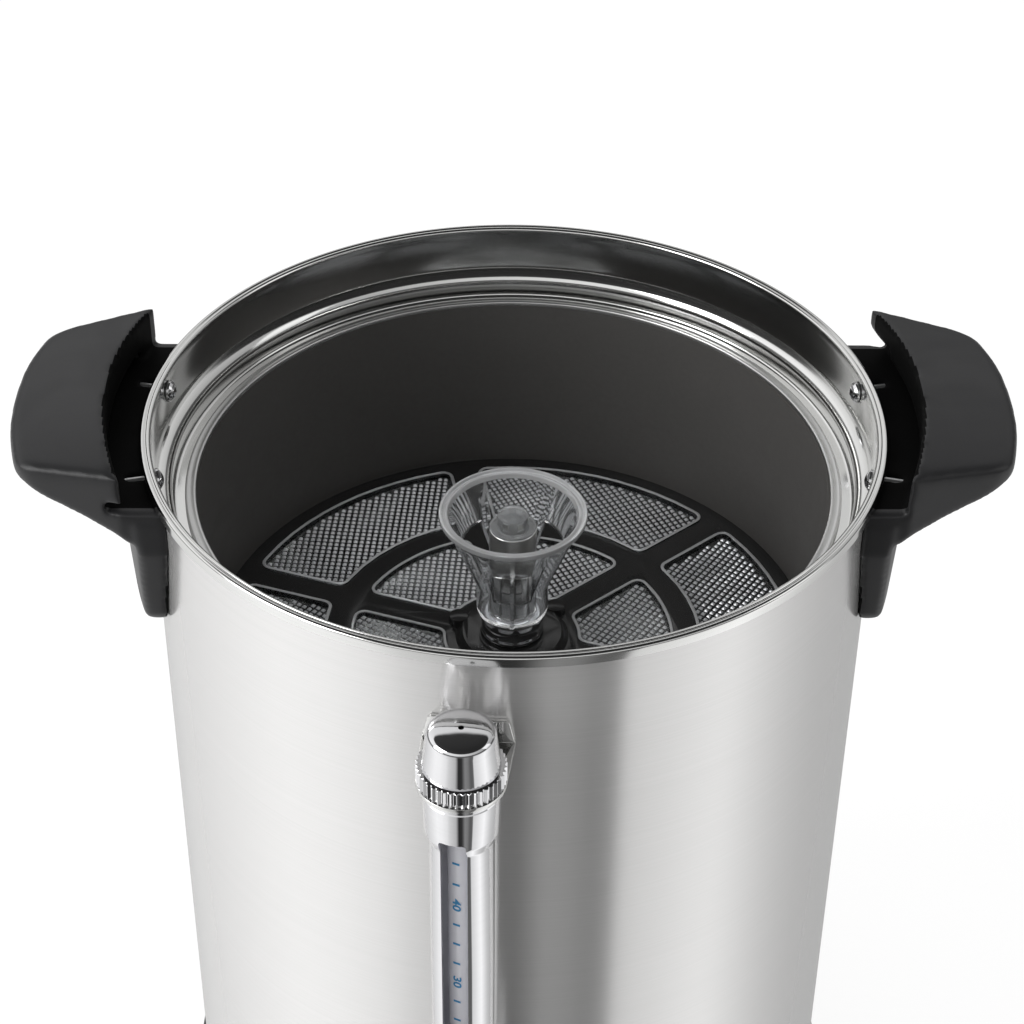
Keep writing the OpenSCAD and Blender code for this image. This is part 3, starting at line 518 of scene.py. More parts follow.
def newLook(name, roughness, metallic=0.0):
    look = bpy.data.materials.new(name)
    look.use_nodes = True
    shader = look.node_tree.nodes["Principled BSDF"]
    shader.inputs["Metallic"].default_value = metallic
    shader.inputs["Roughness"].default_value = roughness
    return look, look.node_tree, shader


def setMetallic(look, metallic):
    look.node_tree.nodes["Principled BSDF"].inputs["Metallic"].default_value = metallic


def useGroup(tree, group, **values):
    inputs = {label.capitalize(): value for label, value in values.items()}
    return addNode(tree, "Group", inputs, node_tree=group)


# Mixes two colours by a mask and feeds the shader's base colour
def paintBetween(tree, shader, mask, first, second):
    mix = addNode(tree, "Mix", data_type="RGBA")
    mix.inputs["A"].default_value = (*first, 1)
    mix.inputs["B"].default_value = (*second, 1)
    connect(tree, (mask, mix.inputs["Factor"]), (mix.outputs["Result"], shader.inputs["Base Color"]))


# Spreads a mask over a span of roughness
def roughBetween(tree, shader, mask, low, high):
    span = addNode(tree, "MapRange", {"To Min": low, "To Max": high})
    connect(tree, (mask, span.inputs["Value"]), (span.outputs[0], shader.inputs["Roughness"]))


def raiseBy(tree, shader, height, strength, distance):
    bump = addNode(tree, "Bump", {"Strength": strength, "Distance": distance * mm})
    connect(tree, (height, bump.inputs["Height"]), (bump.outputs["Normal"], shader.inputs["Normal"]))


def metalLook(name, dark, light, rough, along, across, raised=0.0, spread=0.0):
    look, tree, shader = newLook(name, rough[0], 1.0)
    lines = useGroup(tree, brushedLines, along=along, across=across)
    paintBetween(tree, shader, lines.outputs["Lines"], dark, light)
    roughBetween(tree, shader, lines.outputs["Broad"], rough[0], rough[1])
    if raised:
        raiseBy(tree, shader, lines.outputs["Lines"], raised, 0.02)
    if spread:
        shader.inputs["Anisotropic"].default_value = spread
        shader.inputs["Anisotropic Rotation"].default_value = 0.25
    return look


def plasticLook(name, dark, light, rough, grain, raised, shine=0.5):
    look, tree, shader = newLook(name, rough[0])
    shader.inputs["Specular IOR Level"].default_value = shine
    texture = useGroup(tree, mouldedGrain, scale=grain)
    marks = useGroup(tree, smudges, scale=35.0)
    paintBetween(tree, shader, texture.outputs["Specks"], dark, light)
    roughBetween(tree, shader, marks.outputs["Mask"], rough[0], rough[1])
    raiseBy(tree, shader, texture.outputs["Height"], raised, 0.05)
    return look


def clearLook(name, tint, rough, bend, marked, clearness=1.0):
    look, tree, shader = newLook(name, rough)
    shader.inputs["Transmission Weight"].default_value = clearness
    shader.inputs["IOR"].default_value = bend
    marks = useGroup(tree, smudges, scale=marked)
    paintBetween(tree, shader, marks.outputs["Mask"], tint, tuple(0.97 * v for v in tint))
    roughBetween(tree, shader, marks.outputs["Mask"], rough, rough + 0.06)
    return look


finishes = {
    "shell_steel": metalLook("brushedShell", (0.64, 0.635, 0.63), (0.77, 0.765, 0.755),
                             (0.16, 0.22), 1.5, 2600, 0.08, 0.85),
    "tank_steel": metalLook("polishedTank", (0.60, 0.60, 0.59), (0.68, 0.68, 0.67),
                            (0.08, 0.18), 6, 1200, 0.03),
    "satin_rim": metalLook("satinRim", (0.50, 0.50, 0.50), (0.66, 0.66, 0.65), (0.28, 0.42), 14, 2200, 0.05),
    "chrome_plate": metalLook("chromePlate", (0.62, 0.62, 0.63), (0.67, 0.67, 0.68), (0.03, 0.07), 12, 800),
    "tube_steel": metalLook("tubeSteel", (0.66, 0.66, 0.65), (0.78, 0.78, 0.77),
                            (0.10, 0.20), 12, 1800, 0.03),
    "zinc_steel": metalLook("zincSteel", (0.52, 0.53, 0.54), (0.68, 0.68, 0.67), (0.28, 0.42), 60, 300, 0.03),
    "cast_plate": metalLook("castPlate", (0.42, 0.42, 0.41), (0.60, 0.60, 0.59), (0.45, 0.60), 180, 180, 0.2),
    "brass_pins": metalLook("platedPins", (0.60, 0.56, 0.42), (0.70, 0.66, 0.50),
                            (0.20, 0.30), 60, 300, 0.03),
    "heater_metal": metalLook("heaterSheath", (0.20, 0.17, 0.15), (0.36, 0.32, 0.29),
                              (0.45, 0.60), 60, 60, 0.1),
    "handle_plastic": plasticLook("handlePlastic", (0.015, 0.015, 0.016), (0.020, 0.020, 0.021),
                                  (0.34, 0.44), 1500, 0.06, 0.3),
    "black_nylon": plasticLook("blackNylon", (0.015, 0.015, 0.015), (0.020, 0.020, 0.020),
                               (0.16, 0.26), 900, 0.04),
    "base_plastic": plasticLook("basePlastic", (0.016, 0.016, 0.018), (0.022, 0.022, 0.024),
                                (0.36, 0.50), 1500, 0.12),
    "lever_plastic": plasticLook("leverPlastic", (0.012, 0.012, 0.013), (0.016, 0.016, 0.017),
                                 (0.12, 0.22), 1200, 0.03),
    "rocker_red": plasticLook("rockerRed", (0.50, 0.02, 0.015), (0.58, 0.03, 0.02), (0.16, 0.28), 1400, 0.04),
    "ceramic": plasticLook("ceramic", (0.62, 0.58, 0.48), (0.74, 0.70, 0.60), (0.40, 0.60), 700, 0.15),
    "white_silicone": plasticLook("whiteSilicone", (0.74, 0.74, 0.71), (0.80, 0.80, 0.78),
                                  (0.45, 0.60), 900, 0.08),
    "black_rubber": plasticLook("blackRubber", (0.016, 0.016, 0.016), (0.028, 0.027, 0.026),
                                (0.60, 0.80), 1000, 0.25),
    "wire_cover": plasticLook("wireCover", (0.20, 0.015, 0.012), (0.26, 0.02, 0.016),
                              (0.40, 0.55), 900, 0.08),
    "dark_coating": plasticLook("darkCoating", (0.074, 0.071, 0.068), (0.090, 0.087, 0.083),
                                (0.50, 0.62), 500, 0.08),
    "clear_screen": clearLook("clearScreen", (0.90, 0.92, 0.94), 0.10, 1.45, 60.0),
    "clear_funnel": clearLook("clearFunnel", (0.96, 0.97, 0.98), 0.02, 1.40, 40.0, 0.97),
    # Partly painted light: the gauge glass is frosted and almost opaque, and made pale to lift the shade
    # inside the guard
    "gauge_glass": clearLook("gaugeGlass", (0.90, 0.90, 0.95), 0.18, 1.40, 80.0, 0.05),
    "amber_lens": clearLook("amberLens", (0.95, 0.42, 0.05), 0.15, 1.48, 200.0),
    "green_lens": clearLook("greenLens", (0.16, 0.70, 0.22), 0.15, 1.48, 200.0),
}
setMetallic(finishes["shell_steel"], 0.62)
for node in nodes.values():
    node["slotName"] = node.material_slots[0].material.name.split(".")[0]
    for materialSlot in node.material_slots:
        materialSlot.material = finishes[materialSlot.material.name.split(".")[0]]
print("finishes made:", len(finishes))


# Shell, rim, collar and tank

bodyPlan = {
    "shellRadius": rimRadius - 2.25,
    "shellFoot": 36.0,
    "sheet": 0.8,
    "hemHeight": 4.0,
    "collarTop": rimRadius - 3.8,
    "collarFoot": rimRadius - 4.9,
    "collarHeight": 16.6,
    "beadRadius": 4.6,
    "ledgeDepth": 26.0,
    "tankRadius": rimRadius - 15.5,
}


def makeShell():
    plan = bodyPlan
    outside = plan["shellRadius"]
    inside = outside - plan["sheet"]
    top = rimTop - 1.9
    foot = plan["shellFoot"]
    shell = turned("brushedShell", [
        (inside, top), (inside, foot + 0.3), (inside + 0.2, foot), (outside - 0.2, foot),
        (outside, foot + 0.3),
        (outside, foot + 60), (outside, foot + 160), (outside, foot + 260), (outside, top), (inside, top),
    ], 256)
    smooth(shell, 30)
    finishPiece(shell, "shell_steel", "urn", "outer_shell")


def makeCollar():
    plan = bodyPlan
    hemFoot = rimTop - plan["hemHeight"]
    foot = rimTop - plan["collarHeight"]
    profile = [(rimRadius - 0.35, hemFoot), (rimRadius, hemFoot + 0.35)]
    profile += arcPoints((rimRadius - 1.1, rimTop - 1.1), 1.1, 0, 115, 12)
    profile += [(rimRadius - 1.9, rimTop - 0.32), (rimRadius - 2.2, rimTop - 0.3),
                (rimRadius - 2.45, rimTop - 0.1)]
    profile += arcPoints((plan["collarTop"] + 1.1, rimTop - 1.1), 1.1, 80, 180, 10)
    profile += [(plan["collarTop"], rimTop - 3.0), (plan["collarTop"], rimTop - 4.5)]
    profile += [(plan["collarFoot"] + 0.3, foot + 1), (plan["collarFoot"], foot)]
    profile += [(plan["collarFoot"] + 0.8, foot), (rimRadius - 3.15, rimTop - 2.6),
                (rimRadius - 3.15, rimTop - 1.7),
                (rimRadius - 2.15, rimTop - 1.7), (rimRadius - 2.15, hemFoot), profile[0]]
    collar = turned("rolledRimAndCollar", profile, 256)
    smooth(collar, 40)
    finishPiece(collar, "tank_steel", "urn", "tank_collar")


def makeTankLedge():
    plan = bodyPlan
    foot = rimTop - plan["collarHeight"] - 0.02
    ledge = rimTop - plan["ledgeDepth"]
    bead = plan["beadRadius"]
    beadInner = plan["collarFoot"] - bead
    sheet = plan["sheet"]
    profile = arcPoints((plan["collarFoot"], foot - bead), bead, 90, 180, 16)
    profile += arcPoints((beadInner - 1.2, ledge + 1.2), 1.2, 0, -90, 8)
    profile += [(plan["tankRadius"] + 0.4, ledge), (plan["tankRadius"], ledge - 0.4),
                (plan["tankRadius"], ledge - sheet), (beadInner + sheet, ledge - sheet)]
    profile += arcPoints((plan["collarFoot"], foot - bead), bead - sheet, 180, 90, 12)
    profile += [(plan["collarFoot"] + sheet, foot - sheet), (plan["collarFoot"] + sheet, foot), profile[0]]
    ledgePiece = turned("beadAndLedge", profile, 256)
    smooth(ledgePiece, 40)
    finishPiece(ledgePiece, "tank_steel", "urn", "tank_ledge")


makeShell()
makeCollar()
makeTankLedge()
print("shell, collar and tank made")


# Filter basket: satin rim, black floor frame, clear screens with rows of bumps, chrome bush

basketPlan = {
    "inside": rimRadius - 17.2,
    "rimEdge": rimRadius - 13.4,
    "rimFoot": rimTop - 25.7,
    "floorTop": rimTop - 97.5,
    "frameThickness": 3.0,
    "spokeWidth": 9.75,
    "spokeTurn": 40.2,
    "outerWindow": (0.623, 0.946),    # as shares of the inside radius
    "innerWindow": (0.219, 0.542),
    "screenWall": 1.2,
    "bumpPitch": 2.34,
    "bumpHeight": 0.85,
    "bumpFoot": 1.26,
    "bumpHead": 0.34,
    "bumpBevel": 0.2,
    "bumpMargin": 0.75,
    "rowTurn": 45.0,                  # rows of bumps against the middle of each window
}


def makeBasketRim():
    plan = basketPlan
    foot = plan["rimFoot"]
    inside = plan["inside"]
    edge = plan["rimEdge"]
    rim = turned("basketRim", [
        (inside, foot), (edge - 0.3, foot), (edge, foot + 0.25), (edge, foot + 0.75),
        (edge - 0.25, foot + 1.15),
        (edge - 0.7, foot + 1.35), (edge - 1.1, foot + 1.3), (edge - 1.3, foot + 1.15),
        (inside + 1.4, foot + 1.2),
        (inside + 1.1, foot + 1.45), (inside + 0.7, foot + 1.6), (inside + 0.25, foot + 1.5),
        (inside, foot + 1.15),
        (inside, foot),
    ], 256)
    smooth(rim, 50)
    finishPiece(rim, "satin_rim", "basket", "basket_rim")


# How far a point lies inside a window, in millimetres; below zero it is outside
def insideWindow(x, y, limits, turn):
    plan = basketPlan
    radius = math.hypot(x, y)
    angle = math.radians(turn)
    side = plan["spokeWidth"] / 2
    first = -x * math.sin(angle) + y * math.cos(angle) - side
    last = x * math.sin(angle + math.pi / 3) - y * math.cos(angle + math.pi / 3) - side
    return min(radius - limits[0] * plan["inside"], limits[1] * plan["inside"] - radius, first, last)


# One window's worth of bumps: a small pyramid with bevelled edges, repeated in rows and kept inside the tray
def makeBumps(limits, pieceName):
    plan = basketPlan
    pitch = plan["bumpPitch"] * mm
    low = (plan["floorTop"] - plan["frameThickness"] + 0.95) * mm
    deselectAll()
    bpy.ops.mesh.primitive_cone_add(vertices=4, radius1=plan["bumpFoot"] * mm, radius2=plan["bumpHead"] * mm,
                                    depth=plan["bumpHeight"] * mm, rotation=(0, 0, math.pi / 4))
    bumps = bpy.context.object
    bumps.name = pieceName
    bpy.ops.object.transform_apply(rotation=True)
    editMesh()
    bpy.ops.mesh.bevel(offset=plan["bumpBevel"] * mm, segments=1, affect="EDGES")
    leaveEdit()
    perBump = len(bumps.data.vertices)
    middle = math.radians(plan["spokeTurn"] + 30)
    centre = plan["inside"] * (limits[0] + limits[1]) / 2 * mm
    count = int(plan["inside"] * limits[1] * 1.2 / plan["bumpPitch"])
    for direction in ((pitch, 0, 0), (0, pitch, 0)):
        applyModifier(bumps, "ARRAY", count=count, use_relative_offset=False, use_constant_offset=True,
                      constant_offset_displace=direction)
    settle(bumps, Matrix.Rotation(middle, 4, "Z")
           @ Matrix.Translation((centre, 0, low + plan["bumpHeight"] / 2 * mm)) @ turnBy(plan["rowTurn"])
           @ Matrix.Translation((-(count - 1) * pitch / 2, -(count - 1) * pitch / 2, 0)))
    points = bumps.data.vertices
    clearance = plan["screenWall"] + plan["bumpMargin"]
    outside = []
    for first in range(0, len(points), perBump):
        x = sum(points[i].co.x for i in range(first, first + perBump)) / perBump
        y = sum(points[i].co.y for i in range(first, first + perBump)) / perBump
        far = insideWindow(x / mm, y / mm, limits, plan["spokeTurn"]) < clearance
        outside += [far] * perBump
    selectOnly(bumps, "vertices", outside)
    bpy.ops.mesh.delete(type="VERT")
    leaveEdit()
    return bumps


# Painted highlight: a hazier, whiter clear plastic for the rims of the funnel and the screens, standing in
# for their bright edge lines
lipHighlightLook = clearLook("clearLipHighlight", (0.97, 0.98, 0.99), 0.06, 1.5, 50.0, 0.70)
bumpLook = clearLook("screenBumps", (0.78, 0.79, 0.81), 0.12, 1.5, 60.0, 0.3)
setMetallic(bumpLook, 0.2)


def makeScreens(nodeName, pieceName, limits):
    trays = nodeCopy(nodeName, pieceName)
    bevelEdges(trays, 0.3, 2)
    coat(trays, finishes["clear_screen"])
    # The screens' top lip takes the painted-highlight plastic
    lipFoot = basketPlan["floorTop"] - 0.6
    paintFaces(trays, lipHighlightLook, lambda middle, normal: middle.z > lipFoot)
    smooth(trays, 40)
    first = makeBumps(limits, pieceName + "Bumps")
    first.data.materials.append(bumpLook)
    rows = [first]
    for step in range(1, 6):
        copy = duplicate(first)
        settle(copy, turnBy(60 * step))
        rows.append(copy)
    screens = joinAll([trays] + rows, pieceName)
    placePiece(screens, "basket", nodeName)


bushPlan = {
    "foot": rimTop - 94.5,
    "top": rimTop - 84.4,
    "bore": 8.48,
    "radius": 11.2,
}


def makeHubBush():
    foot, top = bushPlan["foot"], bushPlan["top"]
    bore, side = bushPlan["bore"], bushPlan["radius"]
    bush = turned("hubBush", [
        (bore, foot), (side - 0.5, foot), (side - 0.1, foot + 0.4), (side, foot + 1.0), (side, foot + 2.0),
        (side - 0.3, foot + 2.4), (side - 0.3, foot + 3.0), (side, foot + 3.4), (side, top - 2.4),
        (side - 0.2, top - 1.5), (side - 0.7, top - 0.7), (side - 1.4, top - 0.2), (side - 2.0, top),
        (bore + 0.15, top), (bore, top - 0.15), (bore, foot),
    ], 128)
    smooth(bush, 45)
    finishPiece(bush, "chrome_plate", "basket", "hub_bush")


makeBasketRim()
roundedCopy("basket_frame", "basketFloorFrame", 0.45)
makeScreens("outer_screens", "outerScreens", basketPlan["outerWindow"])
makeScreens("inner_screens", "innerScreens", basketPlan["innerWindow"])
makeHubBush()
print("basket made")


# Percolator tube and the clear funnel that stands over it

funnelPlan = {
    "tubeRadius": 8.4,
    "tubeFoot": 104.0,
    "tubeTop": rimTop - 48,
    "top": rimTop - 41,
    "radius": 26.0,
    "sleeveRadius": 12.8,
    "sleeveTop": rimTop - 73,
    "sleeveFoot": rimTop - 84,
    "turn": -0.8,
}


hazyLook = clearLook("hazyCap", (0.62, 0.63, 0.64), 0.12, 1.30, 90.0, 0.86)


def makeTube():
    plan = funnelPlan
    outside = plan["tubeRadius"]
    top = plan["tubeTop"]
    tube = turned("percolatorTube", [
        (outside - 0.8, plan["tubeFoot"]), (outside, plan["tubeFoot"]), (outside, 180), (outside, 240),
        (outside, top - 0.35), (outside - 0.15, top - 0.1), (outside - 0.4, top), (outside - 0.65, top - 0.1),
        (outside - 0.8, top - 0.35), (outside - 0.8, 200), (outside - 0.8, plan["tubeFoot"]),
    ], 128)
    smooth(tube, 50)
    cap = turned("tubeEndCap", [
        (outside - 0.85, top - 2), (outside - 0.85, top + 0.1), (outside - 0.2, top + 0.1),
        (outside - 0.3, top + 0.6),
        (6.0, top + 0.8), (5.7, top + 1.2), (5.6, top + 5.0), (5.2, top + 5.9), (4.2, top + 6.5),
        (2.2, top + 6.9),
        (0, top + 7.0), (0, top + 6.2), (2.0, top + 6.1), (4.0, top + 5.6), (4.8, top + 4.8), (4.9, top - 2),
        (outside - 0.85, top - 2),
    ], 96)
    for turn in (0, 60, 120):
        combine(cap, block((30, 2.6, 2.8), (0, 0, top + 3.2), turn))
    smooth(cap, 40)
    cap.data.materials.append(hazyLook)
    tube.data.materials.append(finishes["tube_steel"])
    both = joinAll([tube, cap], "percolatorTube")
    placePiece(both, "percolator", "percolator_tube")


def makeFunnel():
    plan = funnelPlan
    top = plan["top"]
    outer = plan["radius"]
    bowl = outer - 2.5
    sleeve = plan["sleeveRadius"]
    neck = plan["sleeveTop"] + 1
    foot = plan["sleeveFoot"]
    bore = plan["tubeRadius"] + 0.08
    funnel = turned("clearFunnel", [
        (bore, foot + 0.2), (bore + 0.2, foot), (sleeve - 0.3, foot), (sleeve, foot + 0.3), (sleeve, neck),
        (bowl + 0.4, top - 3.2), (outer - 0.9, top - 2.6), (outer - 0.2, top - 2.0), (outer, top - 1.5),
        (outer, top - 0.6), (outer - 0.2, top - 0.2), (outer - 0.6, top), (outer - 1.0, top - 0.2),
        (outer - 1.3, top - 0.9), (outer - 1.7, top - 1.1), (outer - 2.1, top - 0.9),
        (bowl - 0.1, top - 0.55),
        (bowl - 0.6, top - 0.7), (bowl - 0.8, top - 1.2),
        (bowl - 1.2, top - 2.4), (sleeve - 1.3, neck), (sleeve - 1.3, foot + 1.5), (bore, foot + 1.5),
        (bore, foot + 0.2),
    ], 144)
    for turn in (30, 150, 270):
        combine(funnel, block((40, 13, 17), (20, 0, plan["sleeveTop"] + 8.5), turn))
    ribOut = outer - 2.2
    rib = plate("funnelRib", [(0.6 - ribOut, top - 3), (4 - ribOut, top - 3),
                              (12.4 - ribOut, plan["sleeveTop"]),
                              (12.4 - ribOut, foot + 1.5), (10.6 - ribOut, foot + 0.1),
                              (9.8 - ribOut, foot + 3),
                              (9.8 - ribOut, plan["sleeveTop"] + 6)], -0.8, 1.6)
    # stands the flat rib up
    settle(rib, Matrix(((0, 0, 1, 0), (1, 0, 0, 0), (0, 1, 0, 0), (0, 0, 0, 1))))
    combine(funnel, rib, "UNION")
    for turn in (35, 145):
        nib = block((1.6, 2.4, 2.0), (outer - 1.2, 0, top - 2.2), turn)
        combine(funnel, nib, "UNION")
    settle(funnel, turnBy(plan["turn"]))
    bevelEdges(funnel, 0.15, 1, 50)
    smooth(funnel, 35)
    coat(funnel, finishes["clear_funnel"])
    # Painted highlight: the funnel's rim takes the hazier, whiter lip plastic
    paintFaces(funnel, lipHighlightLook, lambda middle, normal: middle.z > top - 2.7)
    placePiece(funnel, "funnel", "funnel_cap")


makeTube()
makeFunnel()
print("percolator made")


# Handles: satin black mouldings with soft corners

handlePlan = {
    "grain": 0.75,         # size of the rebuilt mesh
    "evenRounds": 24,
    "softRounds": 60,
    "halfWidth": 50.5,
    "reach": 167.5,
    "pocketHalfWidth": 47,
    "pocketFoot": 296,
    "pocketDepth": 2.5,    # floor faces lie deeper than this under the rim
}


# Share of the strong smoothing at a point, seen on the +X side with the front at -Y
def softShare(x, y, z):
    plan = handlePlan
    front = max(0.0, 1 - abs(y + plan["halfWidth"] - (x - 127) * 0.24 - 1.5) / 12) * max(0.0, min(1.0, z / 4))
    outer = max(0.0, min(1.0, (x - plan["reach"] + 16) / 10))
    crown = max(0.0, min(1.0, (z + 9) / 9))
    return min(1.0, max(front, outer) * crown)


# Painted shade: the plastic in the finger hollow, near-black and dull, where shade falls under the hood
pocketShadeLook = plasticLook("handlePocketShade", (0.0015, 0.0015, 0.0015), (0.0025, 0.0025, 0.0025),
                         (0.60, 0.75), 1500, 0.06, 0.05)


def makeHandle(nodeName, pieceName, side):
    plan = handlePlan
    handle = nodeCopy(nodeName, pieceName)
    applyModifier(handle, "REMESH", mode="VOXEL", voxel_size=plan["grain"] * mm, adaptivity=0.0)
    soft = handle.vertex_groups.new(name="softCorners")
    for point in handle.data.vertices:
        x, y, z = point.co / mm
        share = softShare(x * side, y, z - rimTop)
        if share > 0:
            soft.add([point.index], share, "REPLACE")
    applyModifier(handle, "SMOOTH", factor=0.5, iterations=plan["evenRounds"])
    applyModifier(handle, "SMOOTH", factor=0.5, iterations=plan["softRounds"], vertex_group="softCorners")
    smooth(handle, 60)
    coat(handle, finishes["handle_plastic"])
    # Painted shade: the hollow's floor and inner wall take the near-black pocket finish
    pocketTop = rimTop - plan["pocketDepth"]
    paintFaces(handle, pocketShadeLook, lambda middle, normal: (
        abs(middle.y) < plan["pocketHalfWidth"] and middle.z > plan["pocketFoot"]
        and (normal.z > 0.3 and middle.z < pocketTop or normal.x * side < -0.35)))
    placePiece(handle, "urn", nodeName)


makeHandle("left_handle", "leftHandle", -1)
makeHandle("right_handle", "rightHandle", 1)
print("handles made")


# Level gauge: bracket, guard with a slot window, printed glass, knurled cap

gaugePlan = {
    "reach": 140.8,
    "foot": 137.0,
    "shoulder": rimTop - 54,
    "windowTop": rimTop - 52,
    "windowWidth": 8.6,
    "windowTurn": -8.0,
    "bracketFoot": rimTop - 36.2,
    "neckTop": rimTop - 28.2,
    "glassRadius": 4.5,
    "capFoot": rimTop - 34.5,
    "ringRadius": 13.8,
    "ringHeight": 5.6,
    "capRadius": 11.9,
    "capTop": rimTop - 14.5,
    "teeth": 44,
    "scaleTurn": -17.0,
    "numberSize": 5.4,
    "printHeight": 0.03,
    # (distance under the rim, printed number)
    "scale": [(67.2, ""), (76.3, ""), (85.3, "40"), (94.2, ""), (103.0, ""), (111.9, ""), (120.6, "30"),
              (129.9, ""),
              (138.7, ""), (147.6, ""), (156.4, "20"), (165.3, ""), (174.1, ""), (183.0, ""), (191.8, "10"),
              (200.6, "")],
    "glassFoot": 129.0,
}


# Painted light: a pale, non-metallic copy of the steel for the guard's bore, lighter than chrome to lift the
# shade inside the guard
guardBoreLightLook = metalLook("guardBorePaintedLight", (0.80, 0.80, 0.84), (0.86, 0.86, 0.89), (0.5, 0.6), 40, 200)
setMetallic(guardBoreLightLook, 0.0)
inkLook = plasticLook("blueInk", (0.015, 0.24, 0.50), (0.02, 0.28, 0.56), (0.45, 0.55), 800, 0.0)


def gaugeAxis():
    reach = gaugePlan["reach"]
    return reach * math.sin(frontTurn), -reach * math.cos(frontTurn)


# Printed scale: short marks, and at every fourth place a number turned on its side
def makeScale():
    plan = gaugePlan
    radius = plan["glassRadius"] + plan["printHeight"]
    prints = []
    for drop, number in plan["scale"]:
        if number:
            deselectAll()
            bpy.ops.object.text_add()
            mark = bpy.context.object
            mark.data.body = number
            mark.data.size = plan["numberSize"] * mm
            mark.data.align_x = "CENTER"
            mark.data.align_y = "CENTER"
            mark.data.extrude = plan["printHeight"] * mm
            mark.data.offset = 0.12 * mm
            bpy.ops.object.convert(target="MESH")
            mark = bpy.context.object
            settle(mark, Matrix.Translation((0, -radius * mm, (rimTop - drop) * mm))
                   @ Matrix(((0, 0.7, 0, 0), (0, 0, -1, 0), (-1, 0, 0, 0), (0, 0, 0, 1))))
        else:
            mark = block((2.4, 0.06, 0.85), (0, -radius, rimTop - drop))
        settle(mark, turnBy(plan["scaleTurn"]))
        mark.data.materials.append(inkLook)
        prints.append(mark)
    return joinAll(prints, "printedScale")


def makeGuard():
    plan = gaugePlan
    shoulder = plan["shoulder"]
    top = plan["bracketFoot"] - 0.02
    guard = turned("gaugeGuard", [
        (9.0, plan["foot"] + 0.2), (9.2, plan["foot"]), (10.0, plan["foot"]), (10.2, plan["foot"] + 0.2),
        (10.2, 180), (10.2, 240), (10.2, shoulder - 4.6), (10.35, shoulder - 3.8), (11.7, shoulder - 0.5),
        (11.9, shoulder + 0.4), (11.9, top - 3.4), (11.6, top - 3.1), (11.6, top - 2.7), (11.9, top - 2.4),
        (11.9, top - 0.3), (11.6, top), (7.8, top), (7.8, plan["neckTop"] - 0.4), (7.4, plan["neckTop"]),
        (4.6, plan["neckTop"]), (4.6, plan["windowTop"] + 3), (9.0, plan["windowTop"] + 2), (9.0, 200),
        (9.0, plan["foot"] + 0.2),
    ], 128)
    low = plan["foot"] + 8
    tall = plan["windowTop"] - low
    slot = block((plan["windowWidth"], 10.2, tall), (0, -10.1, low + tall / 2))
    bevelEdges(slot, 1.2, 3)
    slot.matrix_world = turnBy(plan["windowTurn"])
    combine(guard, slot)
    toFront(guard, plan["reach"])
    smooth(guard, 35)
    axisX, axisY = gaugeAxis()
    guard.data.materials.append(finishes["chrome_plate"])
    # Painted light: the faces of the bore, turned towards the gauge's axis, take the pale bore finish
    paintFaces(guard, guardBoreLightLook, lambda middle, normal: (
        (middle.x - axisX) * normal.x + (middle.y - axisY) * normal.y < -4.5))
    placePiece(guard, "urn", "gauge_guard")


def makeGlass():
    plan = gaugePlan
    outside = plan["glassRadius"]
    top = plan["neckTop"] - 0.2
    glass = turned("gaugeGlass", [
        (3.2, plan["glassFoot"]), (outside, plan["glassFoot"]), (outside, 200), (outside, 260),
        (outside, top),
        (3.2, top), (3.2, 200), (3.2, plan["glassFoot"]),
    ], 64)
    glass.data.materials.append(finishes["gauge_glass"])
    smooth(glass, 35)
    printed = joinAll([glass, makeScale()], "gaugeGlass")
    toFront(printed, plan["reach"])
    placePiece(printed, "urn", "gauge_glass")


bracketPlan = {
    "narrowing": 0.92,     # of its width, for points further back and further out than the next two
    "narrowedBehind": -130,
    "narrowedOutside": 8,
}


# The bracket narrows a little behind the cap, where the photo shows its corner
def makeBracket():
    plan = bracketPlan
    bracket = nodeCopy("gauge_bracket", "gaugeBracket")
    settle(bracket, Matrix.Rotation(-frontTurn, 4, "Z"))
    selectOnly(bracket, "vertices", [abs(p.co.x) > plan["narrowedOutside"] * mm
                                     and p.co.y > plan["narrowedBehind"] * mm for p in bracket.data.vertices])
    bpy.ops.transform.resize(value=(plan["narrowing"], 1, 1), center_override=(0, 0, 0))
    leaveEdit()
    settle(bracket, Matrix.Rotation(frontTurn, 4, "Z"))
    bevelEdges(bracket, 0.2)
    smooth(bracket)
    finishPiece(bracket, "zinc_steel", "urn", "gauge_bracket", look=finishes["tank_steel"])


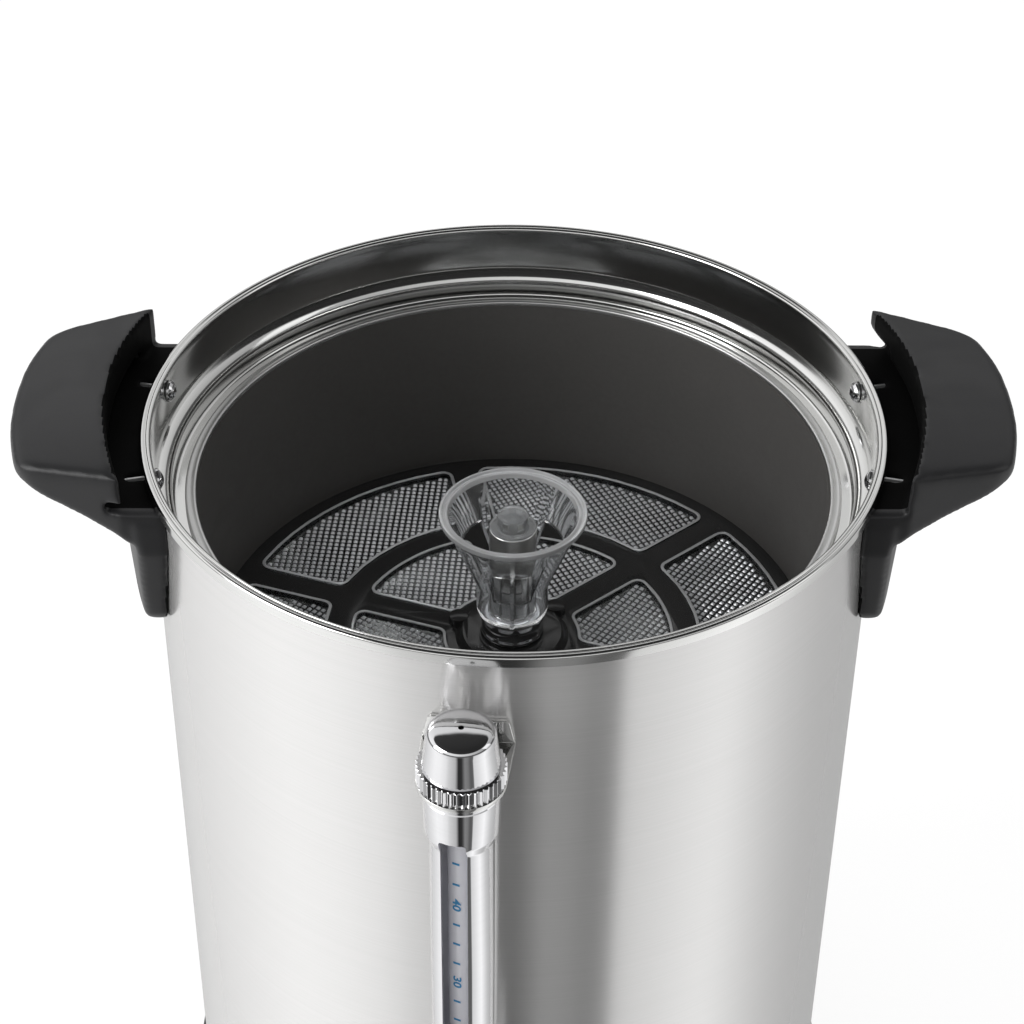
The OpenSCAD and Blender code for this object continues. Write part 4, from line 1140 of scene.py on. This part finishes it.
def makeGaugeCap():
    plan = gaugePlan
    foot = plan["capFoot"]
    shoulder = foot + plan["ringHeight"]
    top = plan["capTop"]
    side = plan["capRadius"]
    cap = turned("gaugeCap", [
        (0.0, top), (1.2, top), (2.5, top - 0.04), (4.5, top - 0.13), (6.5, top - 0.30), (8.0, top - 0.50),
        (9.0, top - 0.72), (9.8, top - 1.15), (10.4, top - 1.8), (10.7, top - 2.6), (10.85, top - 3.6),
        (side, shoulder + 0.9), (side + 0.1, shoulder + 0.5), (side + 0.1, foot + 1),
        (8.1, foot + 1), (8.1, foot + 8.4), (5.2, foot + 8.4), (5.2, top - 3), (0.0, top - 3),
    ], 128)
    combine(cap, turned("capVent", [(0, top - 4), (0.9, top - 4), (0.9, top + 1), (0, top + 1)], 32))
    teeth = plan["teeth"] * 4
    shares = (0.0, 0.0, 1.0, 1.0)
    outline = []
    for step in range(teeth):
        radius = plan["ringRadius"] - 0.75 * shares[step % 4]
        angle = 2 * math.pi * (step + (0.25 if step % 4 in (0, 2) else -0.25)) / teeth
        outline.append((radius * math.cos(angle), radius * math.sin(angle)))
    ring = plate("knurledRing", outline, foot, plan["ringHeight"])
    bore = turned("ringBore", [(0, foot - 1), (11.5, foot - 1), (11.5, shoulder + 1), (0, shoulder + 1)], 96)
    combine(ring, bore)
    bevelEdges(ring, 0.12, 1, 50)
    cap = joinAll([cap, ring], "gaugeCap")
    smooth(cap, 33)
    toFront(cap, plan["reach"])
    finishPiece(cap, "chrome_plate", "cap", "gauge_cap")


makeGuard()
makeGlass()
makeBracket()
makeGaugeCap()
print("gauge made")


# Tap, fastenings and base: a wound spring, and the CAD solids with their edges rounded off

springPlan = {
    "axis": (-20.602, -172.776),
    "foot": 116.15,
    "top": 138.0,
    "radius": 4.2,
    "wire": 0.65,
    "turns": 6,
    "lift": 3.979,
}


# The spring in the bonnet: a round wire wound upwards
def makeSpring():
    plan = springPlan
    x, y = plan["axis"]
    height = plan["top"] - plan["foot"] - 2 * plan["wire"]
    deselectAll()
    bpy.ops.mesh.primitive_circle_add(vertices=12, radius=plan["wire"] * mm, rotation=(math.pi / 2, 0, 0),
                                      location=(plan["radius"] * mm, 0, (plan["foot"] + plan["wire"]) * mm))
    spring = bpy.context.object
    spring.name = "tapSpring"
    bpy.ops.object.transform_apply(location=True, rotation=True)
    applyModifier(spring, "SCREW", axis="Z", screw_offset=height / plan["turns"] * mm, angle=2 * math.pi,
                  iterations=plan["turns"], steps=32, render_steps=32, use_merge_vertices=True,
                  merge_threshold=0.00001)
    editMesh()
    bpy.ops.mesh.fill_holes(sides=0)
    bpy.ops.mesh.normals_make_consistent(inside=False)
    leaveEdit()
    settle(spring, Matrix.Translation((x * mm, y * mm, 0)))
    smooth(spring, 50)
    finishPiece(spring, "zinc_steel", "urn", "tap_spring")
    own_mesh(spring)


makeSpring()
roundedPieces = [
    # node, piece, width of the rounding
    ("tap_body", "tapBody", 0.5),
    ("tap_bonnet", "tapBonnet", 0.25),
    ("tap_lever", "tapLever", 0.8),
    ("tap_nut", "tapNut", 0.3),
    ("tap_pin", "tapPin", 0.25),
    ("tap_stem", "tapStem", 0.25),
    ("tap_gasket", "tapGasket", 0.3),
    ("tap_spacer", "tapSpacer", 0.3),
    ("base_skirt", "baseSkirt", 0.5),
    ("base_plate", "basePlate", 0.2),
    ("feet", "rubberFeet", 0.5),
    ("foot_screws", "footScrews", 0.2),
    ("tie_rod", "tieRod", 0.3),
    ("tie_nut", "tieNut", 0.25),
    ("switch_body", "switchBody", 0.3),
    ("switch_rocker", "switchRocker", 0.4),
    ("power_lamp", "powerLamp", 0.3),
    ("ready_lamp", "readyLamp", 0.3),
    ("inlet_socket", "inletSocket", 0.3),
    ("inlet_pins", "inletPins", 0.3),
    ("inlet_screws", "inletScrews", 0.2),
    ("pump_bell", "pumpBell", 0.15),
    ("heater_plate", "heaterPlate", 0.2),
    ("thermostat", "thermostatDisc", 0.3),
    ("thermal_cutout", "thermalCutout", 0.3),
]
for nodeName, pieceName, width in roundedPieces:
    roundedCopy(nodeName, pieceName, width)
print("tap, fastenings and base made:", len(roundedPieces))
